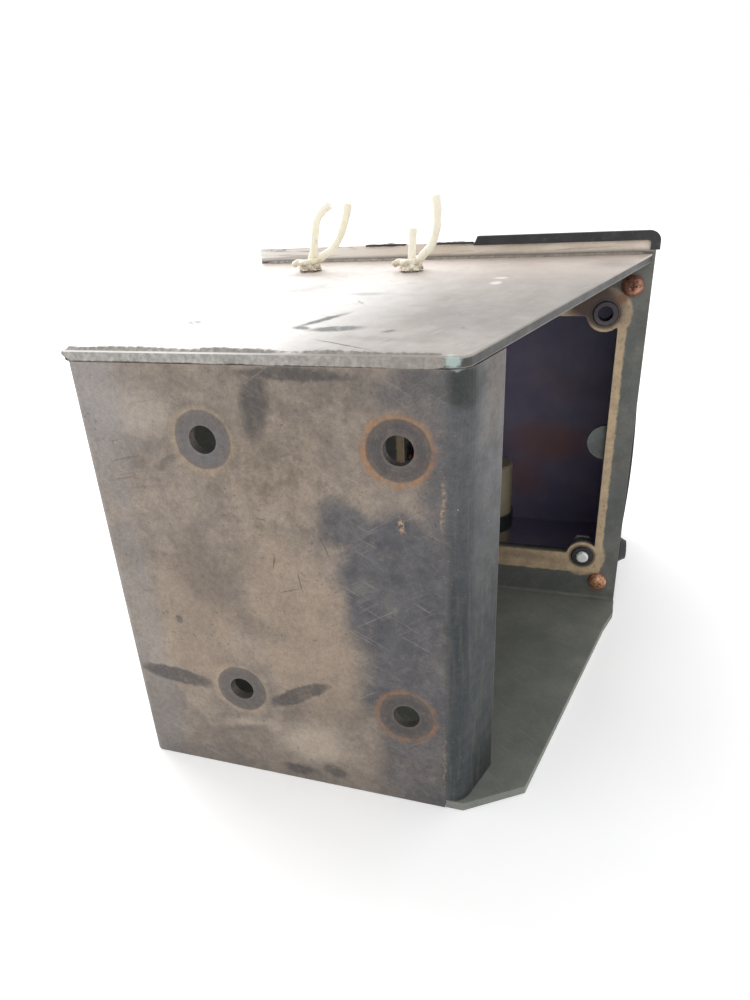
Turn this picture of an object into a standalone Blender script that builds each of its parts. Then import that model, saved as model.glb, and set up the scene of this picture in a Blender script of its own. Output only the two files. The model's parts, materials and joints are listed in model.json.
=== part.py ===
"""A side-mounted garage door opener: a welded steel housing with a geared drive behind it.

Metres, +Z up. X runs across the housing's front, Y back into its depth. Lengths are measured
from the front's lower left corner, and the empty opener_frame moves that corner so that the
whole object stands centred on the origin.
"""

import math

import bmesh
import bpy
from mathutils import Matrix, Vector

# Housing
SHEET = 0.004
GAP = 0.0003
FRONT_WIDTH = 0.150
FRONT_HEIGHT = 0.1944
DEPTH = 0.1815
REAR_WIDTH = 0.2172
REAR_HEIGHT = 0.218
TOP_SLOPE = 0.089
FLARE = math.atan((REAR_WIDTH - FRONT_WIDTH) / DEPTH)
WALL_LEFT = -0.0015
LEFT_BEND = 0.0045
RIGHT_BEND = 0.0096
FLANGE_DEPTH = 0.0242
BASE_BEND = 0.006
REAR_FACE = DEPTH - SHEET

# Openings in the sheets
BOLT_COLUMNS = (0.0522, 0.1266)
BOLT_ROWS = (0.0469, 0.16215)
BOLT_HOLE = 0.0056
WINDOW_LEFT, WINDOW_RIGHT = 0.0825, 0.2028
WINDOW_LOW, WINDOW_HIGH = 0.0342, 0.1793
EAR_LEFT, EAR_RIGHT = 0.0894, 0.1959
EAR_LOW, EAR_HIGH = 0.0330, 0.1805
EAR_RADIUS = 0.0097
BUSH_RADIUS = 0.0066
# Each screw's x and z, and the depth of its post. The gearbox stands close behind the first.
COVER_SCREWS = {
    "cover_screw_low_left": (0.0110, 0.0168, 0.0062),
    "cover_screw_low_right": (0.2064, 0.0168, 0.0160),
    "cover_screw_top_left": (0.0110, 0.1946, 0.0160),
    "cover_screw_top_right": (0.2078, 0.1946, 0.0160),
}
WIRE_TIES = {"wire_tie_left": (0.0402, 0.1491), "wire_tie_right": (0.0980, 0.1428)}
TIE_HOLE = 0.0036

# Rear cover
COVER_FRONT = DEPTH + GAP
COVER_BACK = 0.292
COVER_WALL = 0.003
COVER_LEFT, COVER_RIGHT = 0.0005, 0.2170
COVER_TOP = 0.2108
COVER_CORNER = 0.006
COVER_BOW = 0.0017
BOW_LOW, BOW_HIGH = 0.045, 0.140
GLAND_Y, GLAND_Z = 0.1985, 0.0295

# Drive
BASE_FRONT = DEPTH + 0.0036
BASE_BACK = BASE_FRONT + 0.003
SHAFT_Y, SHAFT_Z = 0.224, 0.052
SHAFT_RADIUS = 0.008
SHAFT_STEP = 0.004
CASE = {"x": (0.016, 0.066), "y": (BASE_BACK + GAP, 0.276), "z": (0.014, 0.090)}
CASE_WALL = 0.004
BEARING_RADIUS = 0.012
WHEEL_TEETH, WHEEL_RADIUS, WHEEL_X = 40, 0.026, 0.044
WORM_RADIUS, WORM_PITCH = 0.0070, math.tau * 0.026 / 40
WORM_Y = SHAFT_Y + WHEEL_RADIUS + WORM_RADIUS + 0.0004
MOTOR_RADIUS = 0.0285
SPROCKET_TEETH, CHAIN_PITCH = 15, 0.0127
LIMIT_MODULE, DRIVE_TEETH, CAM_TEETH = 0.00125, 12, 24
CAM_Z = SHAFT_Z + LIMIT_MODULE * (DRIVE_TEETH + CAM_TEETH) / 2 + 0.0002
LEVER_X, LEVER_Z = 0.028, 0.076
CLUTCH_X = 0.028
BOARD = {"x": (0.077, 0.131), "y": (0.281, 0.2826), "z": (0.084, 0.200)}
BUTTON_X, BUTTON_Z = 0.123, 0.188

# Where the front's lower left corner stands, so that the whole object is centred
CORNER = Vector((-0.0954, -0.1505, 0.0))

ROUND = 20


def clear_scene():
    for old in list(bpy.data.objects):
        bpy.data.objects.remove(old, do_unlink=True)


def material(name, colour, roughness, metallic=0.0):
    made = bpy.data.materials.new(name)
    made.use_nodes = True
    shader = made.node_tree.nodes["Principled BSDF"]
    shader.inputs["Base Color"].default_value = (*colour, 1.0)
    shader.inputs["Roughness"].default_value = roughness
    shader.inputs["Metallic"].default_value = metallic
    return made


def axis_matrix(axis):
    """Turns local Z onto the named axis."""
    turns = {"X": ("Y", math.pi / 2), "Y": ("X", -math.pi / 2), "Z": ("Z", 0.0)}
    name, angle = turns[axis]
    return Matrix.Rotation(angle, 4, name)


def prism(outline, low, high, axis="Z"):
    """An outline extruded from low to high along an axis. Outline points are (x, y) along Z,
    (x, z) along Y and (y, z) along X."""
    places = {
        "Z": lambda a, b, h: (a, b, h),
        "Y": lambda a, b, h: (a, h, b),
        "X": lambda a, b, h: (h, a, b),
    }
    mesh = bmesh.new()
    rings = [[mesh.verts.new(places[axis](a, b, h)) for a, b in outline] for h in (low, high)]
    count = len(outline)
    mesh.faces.new(rings[0])
    mesh.faces.new(rings[1])
    for i in range(count):
        j = (i + 1) % count
        mesh.faces.new((rings[0][i], rings[0][j], rings[1][j], rings[1][i]))
    bmesh.ops.recalc_face_normals(mesh, faces=mesh.faces)
    return mesh


def box(low, high):
    outline = [(low[0], low[1]), (high[0], low[1]), (high[0], high[1]), (low[0], high[1])]
    return prism(outline, low[2], high[2])


def turned(profile, axis="Z", centre=(0, 0, 0), segments=ROUND):
    """A closed (radius, height) profile turned about an axis through centre."""
    mesh = bmesh.new()
    rings = []
    for radius, height in profile:
        if radius < 1e-7:
            rings.append([mesh.verts.new((0, 0, height))] * segments)
            continue
        rings.append([
            mesh.verts.new((radius * math.cos(math.tau * i / segments),
                            radius * math.sin(math.tau * i / segments), height))
            for i in range(segments)
        ])
    for ring, following in zip(rings, rings[1:] + rings[:1]):
        for i in range(segments):
            j = (i + 1) % segments
            corners = dict.fromkeys((ring[i], ring[j], following[j], following[i]))
            if len(corners) > 2:
                mesh.faces.new(list(corners))
    bmesh.ops.recalc_face_normals(mesh, faces=mesh.faces)
    mesh.transform(Matrix.Translation(centre) @ axis_matrix(axis))
    return mesh


def disc(radius, low, high, axis="Z", centre=(0, 0, 0), segments=ROUND):
    return turned([(0, low), (radius, low), (radius, high), (0, high)], axis, centre, segments)


def ring(inner, outer, low, high, axis="Z", centre=(0, 0, 0), segments=ROUND):
    profile = [(inner, low), (outer, low), (outer, high), (inner, high)]
    return turned(profile, axis, centre, segments)


def arc(centre, radius, start, end, steps):
    """Points on a circle from start to end degrees."""
    angles = [math.radians(start + (end - start) * i / steps) for i in range(steps + 1)]
    return [(centre[0] + radius * math.cos(a), centre[1] + radius * math.sin(a)) for a in angles]


def gear_outline(teeth, root, tip, root_share=0.62, tip_share=0.34, turn=0.0):
    """A gear's outline: each tooth takes root_share of its pitch at the root, tip_share at the tip."""
    points = []
    for i in range(teeth):
        middle = math.tau * (i + turn) / teeth
        for radius, side in (
            (root, -root_share), (tip, -tip_share), (tip, tip_share), (root, root_share)
        ):
            angle = middle + side * math.pi / teeth
            points.append((radius * math.cos(angle), radius * math.sin(angle)))
    return points


def place(name, mesh, look, location=(0, 0, 0), parent=None, smooth=False):
    """A named object whose mesh, given in housing lengths, gets its origin at location."""
    data = bpy.data.meshes.new(name)
    mesh.transform(Matrix.Translation(-Vector(location)))
    mesh.to_mesh(data)
    mesh.free()
    made = bpy.data.objects.new(name, data)
    bpy.context.scene.collection.objects.link(made)
    made.parent = parent or opener_frame
    offset = Vector(parent.location) if parent else Vector((0, 0, 0))
    made.location = Vector(location) - offset
    if look:
        data.materials.append(look)
    if smooth:
        data.shade_smooth()
        data.set_sharp_from_angle(angle=math.radians(35))
    return made


def pivot(name, location):
    """An empty on a joint's axis, which that joint's pieces hang from."""
    made = bpy.data.objects.new(name, None)
    made.empty_display_size = 0.01
    bpy.context.scene.collection.objects.link(made)
    made.parent = opener_frame
    made.location = location
    return made


def boolean(target, mesh, operation):
    helper = place(f"{target.name}_{operation.lower()}_{len(target.modifiers)}", mesh, None)
    helper.hide_render = True
    helper.display_type = "WIRE"
    modifier = target.modifiers.new(operation.title(), "BOOLEAN")
    modifier.operation = operation
    modifier.solver = "EXACT"
    modifier.object = helper


def cut(target, *meshes):
    for mesh in meshes:
        boolean(target, mesh, "DIFFERENCE")


def add(target, *meshes):
    for mesh in meshes:
        boolean(target, mesh, "UNION")


def top_height(y, drop=0.0):
    """Height of the top panel's upper face at depth y, less drop measured square to the panel."""
    return FRONT_HEIGHT + TOP_SLOPE * y - drop * math.hypot(1, TOP_SLOPE)


def flared(y):
    """Plan position of the right edge at depth y."""
    return FRONT_WIDTH + math.tan(FLARE) * y


def folded_front():
    """Left wall, front and right flange, folded from one sheet and drilled for four wall bolts."""
    turn = 90 - math.degrees(FLARE)
    right = FRONT_WIDTH - RIGHT_BEND * math.tan(math.radians(turn / 2))
    back = REAR_FACE - GAP
    end = Vector((math.cos(math.radians(turn)), math.sin(math.radians(turn))))

    def flange_end(inset):
        start = Vector(arc((right, RIGHT_BEND), RIGHT_BEND - inset, turn - 90, turn - 90, 1)[0])
        return tuple(start + end * ((FLANGE_DEPTH - start.y) / end.y))

    left = WALL_LEFT + LEFT_BEND
    outline = [(WALL_LEFT, back)]
    outline += arc((left, LEFT_BEND), LEFT_BEND, 180, 270, 6)
    outline += arc((right, RIGHT_BEND), RIGHT_BEND, -90, turn - 90, 8)
    outline += [flange_end(0), flange_end(SHEET)]
    outline += arc((right, RIGHT_BEND), RIGHT_BEND - SHEET, turn - 90, -90, 8)
    outline += arc((left, LEFT_BEND), LEFT_BEND - SHEET, 270, 180, 4)
    outline += [(WALL_LEFT + SHEET, back)]
    panel = place("front_panel", prism(outline, 0, FRONT_HEIGHT + 0.03), STEEL, smooth=True)
    low, high = -0.01, 0.2
    slope = [(y, top_height(y, SHEET + GAP)) for y in (low, high)]
    cut(panel, prism(slope + [(high, 0.26), (low, 0.26)], -0.01, 0.2, "X"))
    for x in BOLT_COLUMNS:
        for z in BOLT_ROWS:
            cut(panel, disc(BOLT_HOLE, -0.005, 0.009, "Y", (x, 0, z)))
    cut(panel, box((right - 0.0008, -0.005, -0.005), (0.18, 0.05, SHEET + GAP)))


def top_panel():
    """The sloping lid of the housing, flared to the right, with a hole for each wire tie."""
    tilt = math.atan(TOP_SLOPE)
    length = (REAR_FACE - GAP) / math.cos(tilt) - SHEET * math.sin(tilt)
    right = flared(REAR_FACE - GAP)
    left, corner, nick = -0.0036, 0.006, 0.0030
    outline = [(left, nick), (left + nick, 0), (FRONT_WIDTH - corner, 0)]
    side = math.degrees(FLARE)
    outline += arc((FRONT_WIDTH - corner * 0.75, corner), corner, -70, -side, 4)
    outline += [(right, length), (left, length)]
    panel = place("top_panel", prism(outline, -SHEET, 0), STEEL)
    panel.rotation_euler = (tilt, 0, 0)
    panel.location = (0, 0, FRONT_HEIGHT)
    for x, y in WIRE_TIES.values():
        cut(panel, disc(TIE_HOLE + GAP, 0.19, 0.22, "Z", (x, y, 0)))


def window_outline():
    """The window in the rear sheet: a rectangle with a round ear over each corner bolt."""
    rise = math.degrees(math.asin((WINDOW_LOW - EAR_LOW) / EAR_RADIUS))
    reach = math.degrees(math.acos((WINDOW_RIGHT - EAR_RIGHT) / EAR_RADIUS))
    points = []
    corners = (
        (EAR_RIGHT, EAR_LOW, 180 - rise, reach),
        (EAR_RIGHT, EAR_HIGH, -reach, rise - 180),
        (EAR_LEFT, EAR_HIGH, -rise, -180 + reach),
        (EAR_LEFT, EAR_LOW, 180 - reach, rise),
    )
    for x, z, start, end in corners:
        points += arc((x, z), EAR_RADIUS, start, end, 7)
    return points


def rear_and_base():
    """Base and rear wall, bent from one sheet, with the drive's window and its bolt holes."""
    inner, outer = BASE_BEND - SHEET, BASE_BEND
    heel = (DEPTH - BASE_BEND, BASE_BEND)
    profile = [(GAP, 0)] + arc(heel, outer, -90, 0, 8) + [(DEPTH, REAR_HEIGHT)]
    profile += [(REAR_FACE, REAR_HEIGHT)] + arc(heel, inner, 0, -90, 8) + [(GAP, SHEET)]
    sheet = place("rear_base_panel", prism(profile, WALL_LEFT, REAR_WIDTH, "X"), STEEL, smooth=True)
    far = 0.3
    taper = [(FRONT_WIDTH + 0.0002, -0.01), (FRONT_WIDTH + 0.0002, 0.0002), (0.1750, 0.0159)]
    taper += [(0.2108, 0.1470), (0.2165, 0.1634), (REAR_WIDTH - 0.0002, 0.1740), (far, 0.1740)]
    taper += [(far, -0.01)]
    cut(sheet, prism(taper, -0.01, 0.02))
    wall = WALL_LEFT + SHEET + GAP
    cut(sheet, box((-0.01, -0.01, -0.01), (wall, REAR_FACE - GAP / 2, 0.012)))
    cut(sheet, box((-0.01, -0.01, -0.01), (0.1428, SHEET + GAP, 0.012)))
    window = place("window_cutter", prism(window_outline(), DEPTH - 0.01, DEPTH + 0.01, "Y"), None)
    window.hide_render = True
    window.display_type = "WIRE"
    fillet = window.modifiers.new("Fillet", "BEVEL")
    fillet.width = 0.002
    fillet.segments = 2
    fillet.limit_method = "ANGLE"
    fillet.angle_limit = math.radians(50)
    opened = sheet.modifiers.new("Window", "BOOLEAN")
    opened.operation = "DIFFERENCE"
    opened.solver = "EXACT"
    opened.object = window
    for x in (EAR_LEFT, EAR_RIGHT):
        for z in (EAR_LOW, EAR_HIGH):
            cut(sheet, disc(BUSH_RADIUS + GAP, 0.170, 0.190, "Y", (x, 0, z), 14))
    for x, z, _ in COVER_SCREWS.values():
        cut(sheet, disc(0.0028, 0.170, 0.190, "Y", (x, 0, z), 10))
    corner = arc((0.2137, 0.2145), 0.0035, 0, 90, 5)
    corner += [(0.2137, 0.225), (0.225, 0.225), (0.225, 0.2145)]
    cut(sheet, prism(corner, 0.170, 0.190, "Y"))


def edge_trim():
    """Rubber edging pushed over the rear sheet's upper edge and round its right corner."""
    start, bottom, lip = 0.1250, 0.2120, 0.0045
    top, side, corner = 0.2212, 0.2188, 0.0052
    outline = [(start + 0.002, top)]
    outline += arc((side - corner, top - corner), corner, 90, 0, 8)
    outline += [(side, bottom), (side - lip, bottom)]
    outline += arc((side - lip - 0.0015, top - lip - 0.0015), 0.0015, 0, 90, 4)
    outline += [(start, top - lip)]
    trim = place("rear_edge_trim", prism(outline, REAR_FACE - 0.0017, DEPTH + 0.0017, "Y"), RUBBER)
    channel = [(start - 0.01, 0.200), (REAR_WIDTH + GAP, 0.200)]
    channel += arc((0.2137, 0.2145), 0.0035 + GAP, 0, 90, 6) + [(start - 0.01, REAR_HEIGHT + GAP)]
    cut(trim, prism(channel, REAR_FACE - GAP, DEPTH + GAP, "Y"))


def swept(points, radius, segments=7):
    """A round bar along a smooth line through the points, with domed ends."""
    line = []
    ends = [points[0]] + points + [points[-1]]
    for a, b, c, d in zip(ends, ends[1:], ends[2:], ends[3:]):
        a, b, c, d = (Vector(p) for p in (a, b, c, d))
        for t in (0, 0.5):
            line.append(0.5 * (2 * b + (c - a) * t + (2 * a - 5 * b + 4 * c - d) * t * t
                               + (3 * b - a - 3 * c + d) * t ** 3))
    line.append(Vector(points[-1]))
    mesh = bmesh.new()
    side = Vector((0, 1, 0))
    rings = []
    for i, point in enumerate(line):
        ahead = (line[min(i + 1, len(line) - 1)] - line[max(i - 1, 0)]).normalized()
        across = ahead.cross(side).normalized()
        up = across.cross(ahead)
        rings.append([
            mesh.verts.new(point + radius * (across * math.cos(math.tau * k / segments)
                                             + up * math.sin(math.tau * k / segments)))
            for k in range(segments)
        ])
    for before, after in zip(rings, rings[1:]):
        for k in range(segments):
            j = (k + 1) % segments
            mesh.faces.new((before[k], before[j], after[j], after[k]))
    mesh.faces.new(rings[0])
    mesh.faces.new(rings[-1])
    bmesh.ops.recalc_face_normals(mesh, faces=mesh.faces)
    return mesh


def wire_ties():
    """Stiff plastic-coated tie wires, knotted on the top panel and threaded through it."""
    radius = 0.0024
    tails = {
        "wire_tie_left": (
            [(0, 0, 0.001), (0.0030, 0, 0.0090), (0.0048, 0, 0.0185), (0.0062, 0, 0.0245),
             (0.0095, 0, 0.0287), (0.0140, 0, 0.0318)],
            [(0, 0.001, 0.002), (0.0070, 0.001, 0.0060), (0.0135, 0.001, 0.0100),
             (0.0188, 0.001, 0.0175), (0.0222, 0.001, 0.0260), (0.0233, 0.001, 0.0318)],
        ),
        "wire_tie_right": (
            [(0, 0, 0.001), (0.0008, 0, 0.0090), (0.0015, 0, 0.0195)],
            [(0.0025, 0.001, 0.002), (0.0062, 0.001, 0.0065), (0.0105, 0.001, 0.0110),
             (0.0132, 0.001, 0.0185), (0.0137, 0.001, 0.0270), (0.0128, 0.001, 0.0342)],
        ),
    }
    for name, (x, y) in WIRE_TIES.items():
        seat = Vector((x, y, top_height(y) + 0.0009))
        profile = [(0, 0), (0.0058, 0), (0.0062, 0.0018), (0.0046, 0.0048), (0, 0.0056)]
        tie = place(name, turned(profile, "Z", seat, 12), NYLON, smooth=True)
        for points in tails[name]:
            add(tie, swept([seat + Vector(p) for p in points], radius))
        tail = [(-0.0020, -0.001, 0.0022), (-0.0062, -0.001, 0.0026), (-0.0092, -0.001, 0.0026)]
        add(tie, swept([seat + Vector(p) for p in tail], 0.0017, 6))
        add(tie, disc(TIE_HOLE - GAP, -0.0085, 0.001, "Z", seat, 12))
        add(tie, turned([(0, -0.0125), (0.0055, -0.0110), (0.0055, -0.0070), (0, -0.0066)],
                        "Z", seat, 12))


def cover_screws():
    """Copper-plated dome screws that hold the rear cover."""
    for name, (x, z, depth) in COVER_SCREWS.items():
        centre = (x, REAR_FACE - GAP, z)
        tip = SHEET + 2 * GAP + depth - 0.0022
        profile = [(0, tip), (0.0022, tip), (0.0022, 0), (0.0054, 0), (0.0052, -0.0018),
                   (0.0040, -0.0034), (0.0022, -0.0042), (0, -0.0044)]
        screw = place(name, turned(profile, "Y", centre, 14), COPPER, centre, smooth=True)
        for across in ((0.0022, 0.0005), (0.0005, 0.0022)):
            low = (x - across[0], REAR_FACE - 0.008, z - across[1])
            high = (x + across[0], REAR_FACE - GAP - 0.0030, z + across[1])
            cut(screw, box(low, high))


def drive_fasteners():
    """A rubber bush in each ear of the window, and a bolt through three of them."""
    corners = {
        "low_left": (EAR_LEFT, EAR_LOW),
        "low_right": (EAR_RIGHT, EAR_LOW),
        "top_left": (EAR_LEFT, EAR_HIGH),
        "top_right": (EAR_RIGHT, EAR_HIGH),
    }
    for name, (x, z) in corners.items():
        centre = (x, REAR_FACE, z)
        profile = [(0.0040, -0.0008), (0.0060, -0.0008), (BUSH_RADIUS, 0), (BUSH_RADIUS, 0.0043),
                   (0.0086, 0.0043), (0.0086, 0.0073), (0.0040, 0.0073)]
        place(f"bush_{name}", turned(profile, "Y", centre, 14), RUBBER, centre, smooth=True)
        if name == "top_right":
            continue
        hexagon = arc((x, z), 0.0072, 0, 300, 5)
        head = BASE_BACK + GAP
        bolt = place(f"drive_bolt_{name}", prism(hexagon, head, head + 0.0055, "Y"), ZINC, centre)
        shank = [(0, -0.0026), (0.0028, -0.0026), (0.0037, -0.0016), (0.0037, 0.0125), (0, 0.0125)]
        add(bolt, turned(shank, "Y", centre, 12))


def drive_base():
    """The drive's base plate, hung on the four bushes, with a round lug half way up its rail."""
    left, right = 0.008, 0.2125
    low, high = 0.0228, 0.1888
    outline = [(left, low), (right, low), (right, high), (left, high)]
    plate = place("drive_base", prism(outline, BASE_FRONT, BASE_BACK, "Y"), ZINC)
    rail = 0.2040
    cut(plate, box((0.0815, 0.170, 0.0322), (rail, 0.200, 0.1815)))
    add(plate, disc(0.0105, BASE_FRONT, BASE_BACK, "Y", (rail - 0.0007, 0, 0.1057)))
    for x in (EAR_LEFT, EAR_RIGHT):
        for z in (EAR_LOW, EAR_HIGH):
            add(plate, disc(0.0080, BASE_FRONT, BASE_BACK, "Y", (x, 0, z)))
    for x in (EAR_LEFT, EAR_RIGHT):
        for z in (EAR_LOW, EAR_HIGH):
            cut(plate, disc(0.0041, 0.180, 0.195, "Y", (x, 0, z), 16))


def cover_outline(inset):
    """The cover's section: a rounded rectangle whose right side bows out a little."""
    left, right = COVER_LEFT + inset, COVER_RIGHT - inset
    low, high = inset, COVER_TOP - inset
    radius = COVER_CORNER - inset
    points = arc((left + radius, low + radius), radius, 180, 270, 5)
    points += arc((right - radius, low + radius), radius, -90, 0, 5)
    steps = 10
    for i in range(steps + 1):
        share = i / steps
        points.append((right + COVER_BOW * math.sin(math.pi * share),
                       BOW_LOW + (BOW_HIGH - BOW_LOW) * share))
    points += arc((right - radius, high - radius), radius, 0, 90, 5)
    points += arc((left + radius, high - radius), radius, 90, 180, 5)
    return points


def rear_cover():
    """The moulded cover over the drive, with its screw posts, vents and through-holes."""
    cover = place("rear_cover", prism(cover_outline(0), COVER_FRONT, COVER_BACK, "Y"), BLACK_PLASTIC)
    inner = prism(cover_outline(COVER_WALL), COVER_FRONT - 0.01, COVER_BACK - COVER_WALL, "Y")
    cut(cover, inner)
    for x, z, depth in COVER_SCREWS.values():
        near_left = x < REAR_WIDTH / 2
        near_base = z < REAR_HEIGHT / 2
        wall_x = COVER_LEFT + 0.001 if near_left else COVER_RIGHT - 0.001
        wall_z = 0.001 if near_base else COVER_TOP - 0.001
        back = COVER_FRONT + depth
        post = disc(0.0045, COVER_FRONT, back, "Y", (x, 0, z), 16)
        low = (min(x, wall_x), COVER_FRONT, min(z, wall_z))
        high = (max(x, wall_x), back - 0.0005, max(z, wall_z))
        add(cover, post, box(low, high))
        cut(cover, disc(0.0026, COVER_FRONT - 0.01, back - 0.0015, "Y", (x, 0, z), 12))
    vents, pitch = 6, 0.0120
    for i in range(vents):
        z = 0.118 + i * pitch
        cut(cover, box((0.022, COVER_BACK - 0.01, z), (0.072, COVER_BACK + 0.01, z + 0.0035)))
    cut(cover, disc(0.0140, -0.01, 0.01, "X", (0, SHAFT_Y, SHAFT_Z)))
    cut(cover, disc(0.0046, 0.28, 0.30, "Y", (LEVER_X, 0, LEVER_Z), 16))
    cut(cover, disc(0.0046, 0.28, 0.30, "Y", (BUTTON_X, 0, BUTTON_Z), 16))
    cut(cover, disc(0.0064, 0.205, 0.225, "X", (0, GLAND_Y, GLAND_Z), 16))


def cable_gland():
    """The mains inlet in the cover's right side, and its locknut inside."""
    centre = (COVER_RIGHT, GLAND_Y, GLAND_Z)
    profile = [(0.0035, -0.0085), (0.0060, -0.0085), (0.0060, GAP), (0.0079, GAP),
               (0.0079, 0.0022), (0.0068, 0.0040), (0.0058, 0.0058), (0.0035, 0.0058)]
    place("cable_gland", turned(profile, "X", centre), BLACK_PLASTIC, centre, smooth=True)
    wall = -COVER_WALL - GAP
    nut = place("gland_locknut", prism(arc((GLAND_Y, GLAND_Z), 0.0076, 0, 300, 5),
                                       COVER_RIGHT + wall - 0.004, COVER_RIGHT + wall, "X"),
                BLACK_PLASTIC, centre)
    cut(nut, disc(0.0063, -0.02, 0.01, "X", centre, 16))


def gearbox():
    """The worm gearbox's cast case and the lid that carries the output snout."""
    low, high = (tuple(CASE[axis][i] for axis in "xyz") for i in (0, 1))
    case = place("gearbox_case", box(low, high), CASTING)
    cut(case, box((low[0] - 0.01, low[1] + CASE_WALL, low[2] + CASE_WALL),
                  (high[0] - CASE_WALL, high[1] - CASE_WALL, high[2] - CASE_WALL)))
    cut(case, disc(BEARING_RADIUS + GAP, 0.05, 0.08, "X", (0, SHAFT_Y, SHAFT_Z)))
    cut(case, disc(0.0095, 0.080, 0.10, "Z", (WHEEL_X, WORM_Y, 0)))
    cut(case, disc(0.0040, 0.268, 0.28, "Y", (LEVER_X, 0, LEVER_Z), 16))
    lid_face = CASE["x"][0] - GAP
    lid = place("gearbox_lid", box((lid_face - 0.004, low[1], low[2]), (lid_face, high[1], high[2])),
                CASTING)
    axis = (0, SHAFT_Y, SHAFT_Z)
    add(lid, disc(0.0134, -0.0040, lid_face - 0.001, "X", axis))
    cut(lid, disc(BEARING_RADIUS + GAP, 0.0010, 0.03, "X", axis))
    cut(lid, disc(SHAFT_RADIUS + 0.0006, -0.02, 0.01, "X", axis))
    for y in (low[1] + 0.006, high[1] - 0.006):
        for z in (low[2] + 0.006, high[2] - 0.006):
            side = "front" if y < SHAFT_Y else "rear"
            height = "low" if z < SHAFT_Z else "top"
            head = turned([(0, 0), (0.0034, 0), (0.0034, -0.0022), (0.0022, -0.0030), (0, -0.0030)],
                          "X", (lid_face - 0.004 - GAP, y, z), 8)
            place(f"lid_screw_{side}_{height}", head, ZINC, smooth=True)
    place("shaft_bearing_left", ring(SHAFT_RADIUS + GAP, BEARING_RADIUS, 0.0013, 0.0133, "X", axis),
          BRONZE, smooth=True)
    place("shaft_bearing_right", ring(SHAFT_RADIUS + GAP, BEARING_RADIUS, 0.0560, 0.0670, "X", axis),
          BRONZE, smooth=True)


def output_shaft():
    """The output shaft with the chain sprocket outside and the limit pinion inside."""
    centre = (WHEEL_X, SHAFT_Y, SHAFT_Z)
    turning = pivot("output_axis", centre)

    def along(x):
        return x - WHEEL_X

    end = along(-0.032)
    groove = along(-0.0285)
    profile = [(0, end), (0.0072, end), (SHAFT_RADIUS, end + 0.0008), (SHAFT_RADIUS, groove),
               (0.0068, groove), (0.0068, groove + 0.0016), (SHAFT_RADIUS, groove + 0.0016),
               (SHAFT_RADIUS, along(0.0672)), (SHAFT_STEP, along(0.0672)),
               (SHAFT_STEP, along(0.0780)), (0, along(0.0780))]
    place("output_shaft", turned(profile, "X", centre), BRIGHT_STEEL, centre, turning, True)

    pitch_radius = CHAIN_PITCH / (2 * math.sin(math.pi / SPROCKET_TEETH))
    outline = gear_outline(SPROCKET_TEETH, pitch_radius - 0.0036, pitch_radius + 0.0036, 0.55, 0.16)
    wheel = [(SHAFT_Y + a, SHAFT_Z + b) for a, b in outline]
    sprocket = place("drive_sprocket", prism(wheel, -0.0245, -0.0185, "X"), OILED_STEEL,
                     centre, turning)
    add(sprocket, disc(0.0155, -0.0190, -0.0060, "X", (0, SHAFT_Y, SHAFT_Z)))
    cut(sprocket, disc(SHAFT_RADIUS + GAP, -0.04, 0.01, "X", (0, SHAFT_Y, SHAFT_Z)))
    for i in range(5):
        angle = math.tau * i / 5
        hole = (0, SHAFT_Y + 0.0205 * math.cos(angle), SHAFT_Z + 0.0205 * math.sin(angle))
        cut(sprocket, disc(0.0033, -0.03, -0.015, "X", hole, 12))

    span = arc((SHAFT_Y, SHAFT_Z), 0.0100, 20, 340, 14) + arc((SHAFT_Y, SHAFT_Z), 0.0071, 340, 20, 14)
    place("shaft_snap_ring", prism(span, -0.0283, -0.0271, "X"), BRIGHT_STEEL, centre, turning)

    pinion = gear_outline(DRIVE_TEETH, 0.0062, 0.0085, 0.52, 0.2)
    teeth = [(SHAFT_Y + a, SHAFT_Z + b) for a, b in pinion]
    gear = place("limit_pinion", prism(teeth, 0.0700, 0.0745, "X"), NYLON, centre, turning)
    cut(gear, disc(SHAFT_STEP + GAP, 0.06, 0.08, "X", (0, SHAFT_Y, SHAFT_Z), 16))


def worm_wheel():
    """The bronze wheel that the worm turns. It carries the clutch's three notches."""
    centre = (WHEEL_X, SHAFT_Y, SHAFT_Z)
    turning = pivot("wheel_axis", centre)
    outline = gear_outline(WHEEL_TEETH, WHEEL_RADIUS - 0.0014, WHEEL_RADIUS + 0.0012, 0.52, 0.26, 0.5)
    teeth = [(SHAFT_Y + a, SHAFT_Z + b) for a, b in outline]
    wheel = place("worm_wheel", prism(teeth, 0.0375, 0.0505, "X"), BRONZE, centre, turning)
    cut(wheel, disc(SHAFT_RADIUS + GAP, 0.03, 0.06, "X", (0, SHAFT_Y, SHAFT_Z)))
    for i in range(3):
        notch = dog_outline(i, 0.0100, 0.0150, 19)
        cut(wheel, prism(notch, 0.0300, 0.0415, "X"))


def dog_outline(index, inner, outer, half_angle):
    """One of the clutch's three dogs, seen along the shaft."""
    middle = 120 * index + 90
    centre = (SHAFT_Y, SHAFT_Z)
    return (arc(centre, outer, middle - half_angle, middle + half_angle, 4)
            + arc(centre, inner, middle + half_angle, middle - half_angle, 4))


def clutch():
    """The sliding half of the dog clutch, with a groove for the release fork."""
    centre = (CLUTCH_X, SHAFT_Y, SHAFT_Z)
    profile = [(SHAFT_RADIUS + GAP, -0.0060), (0.0150, -0.0060), (0.0150, -0.0023),
               (0.0112, -0.0023), (0.0112, 0.0023), (0.0150, 0.0023), (0.0150, 0.0085),
               (SHAFT_RADIUS + GAP, 0.0085)]
    dog = place("clutch_dog", turned(profile, "X", centre), BRIGHT_STEEL, centre, smooth=True)
    for i in range(3):
        add(dog, prism(dog_outline(i, 0.0104, 0.0146, 15), CLUTCH_X + 0.0070, 0.0408, "X"))


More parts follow.
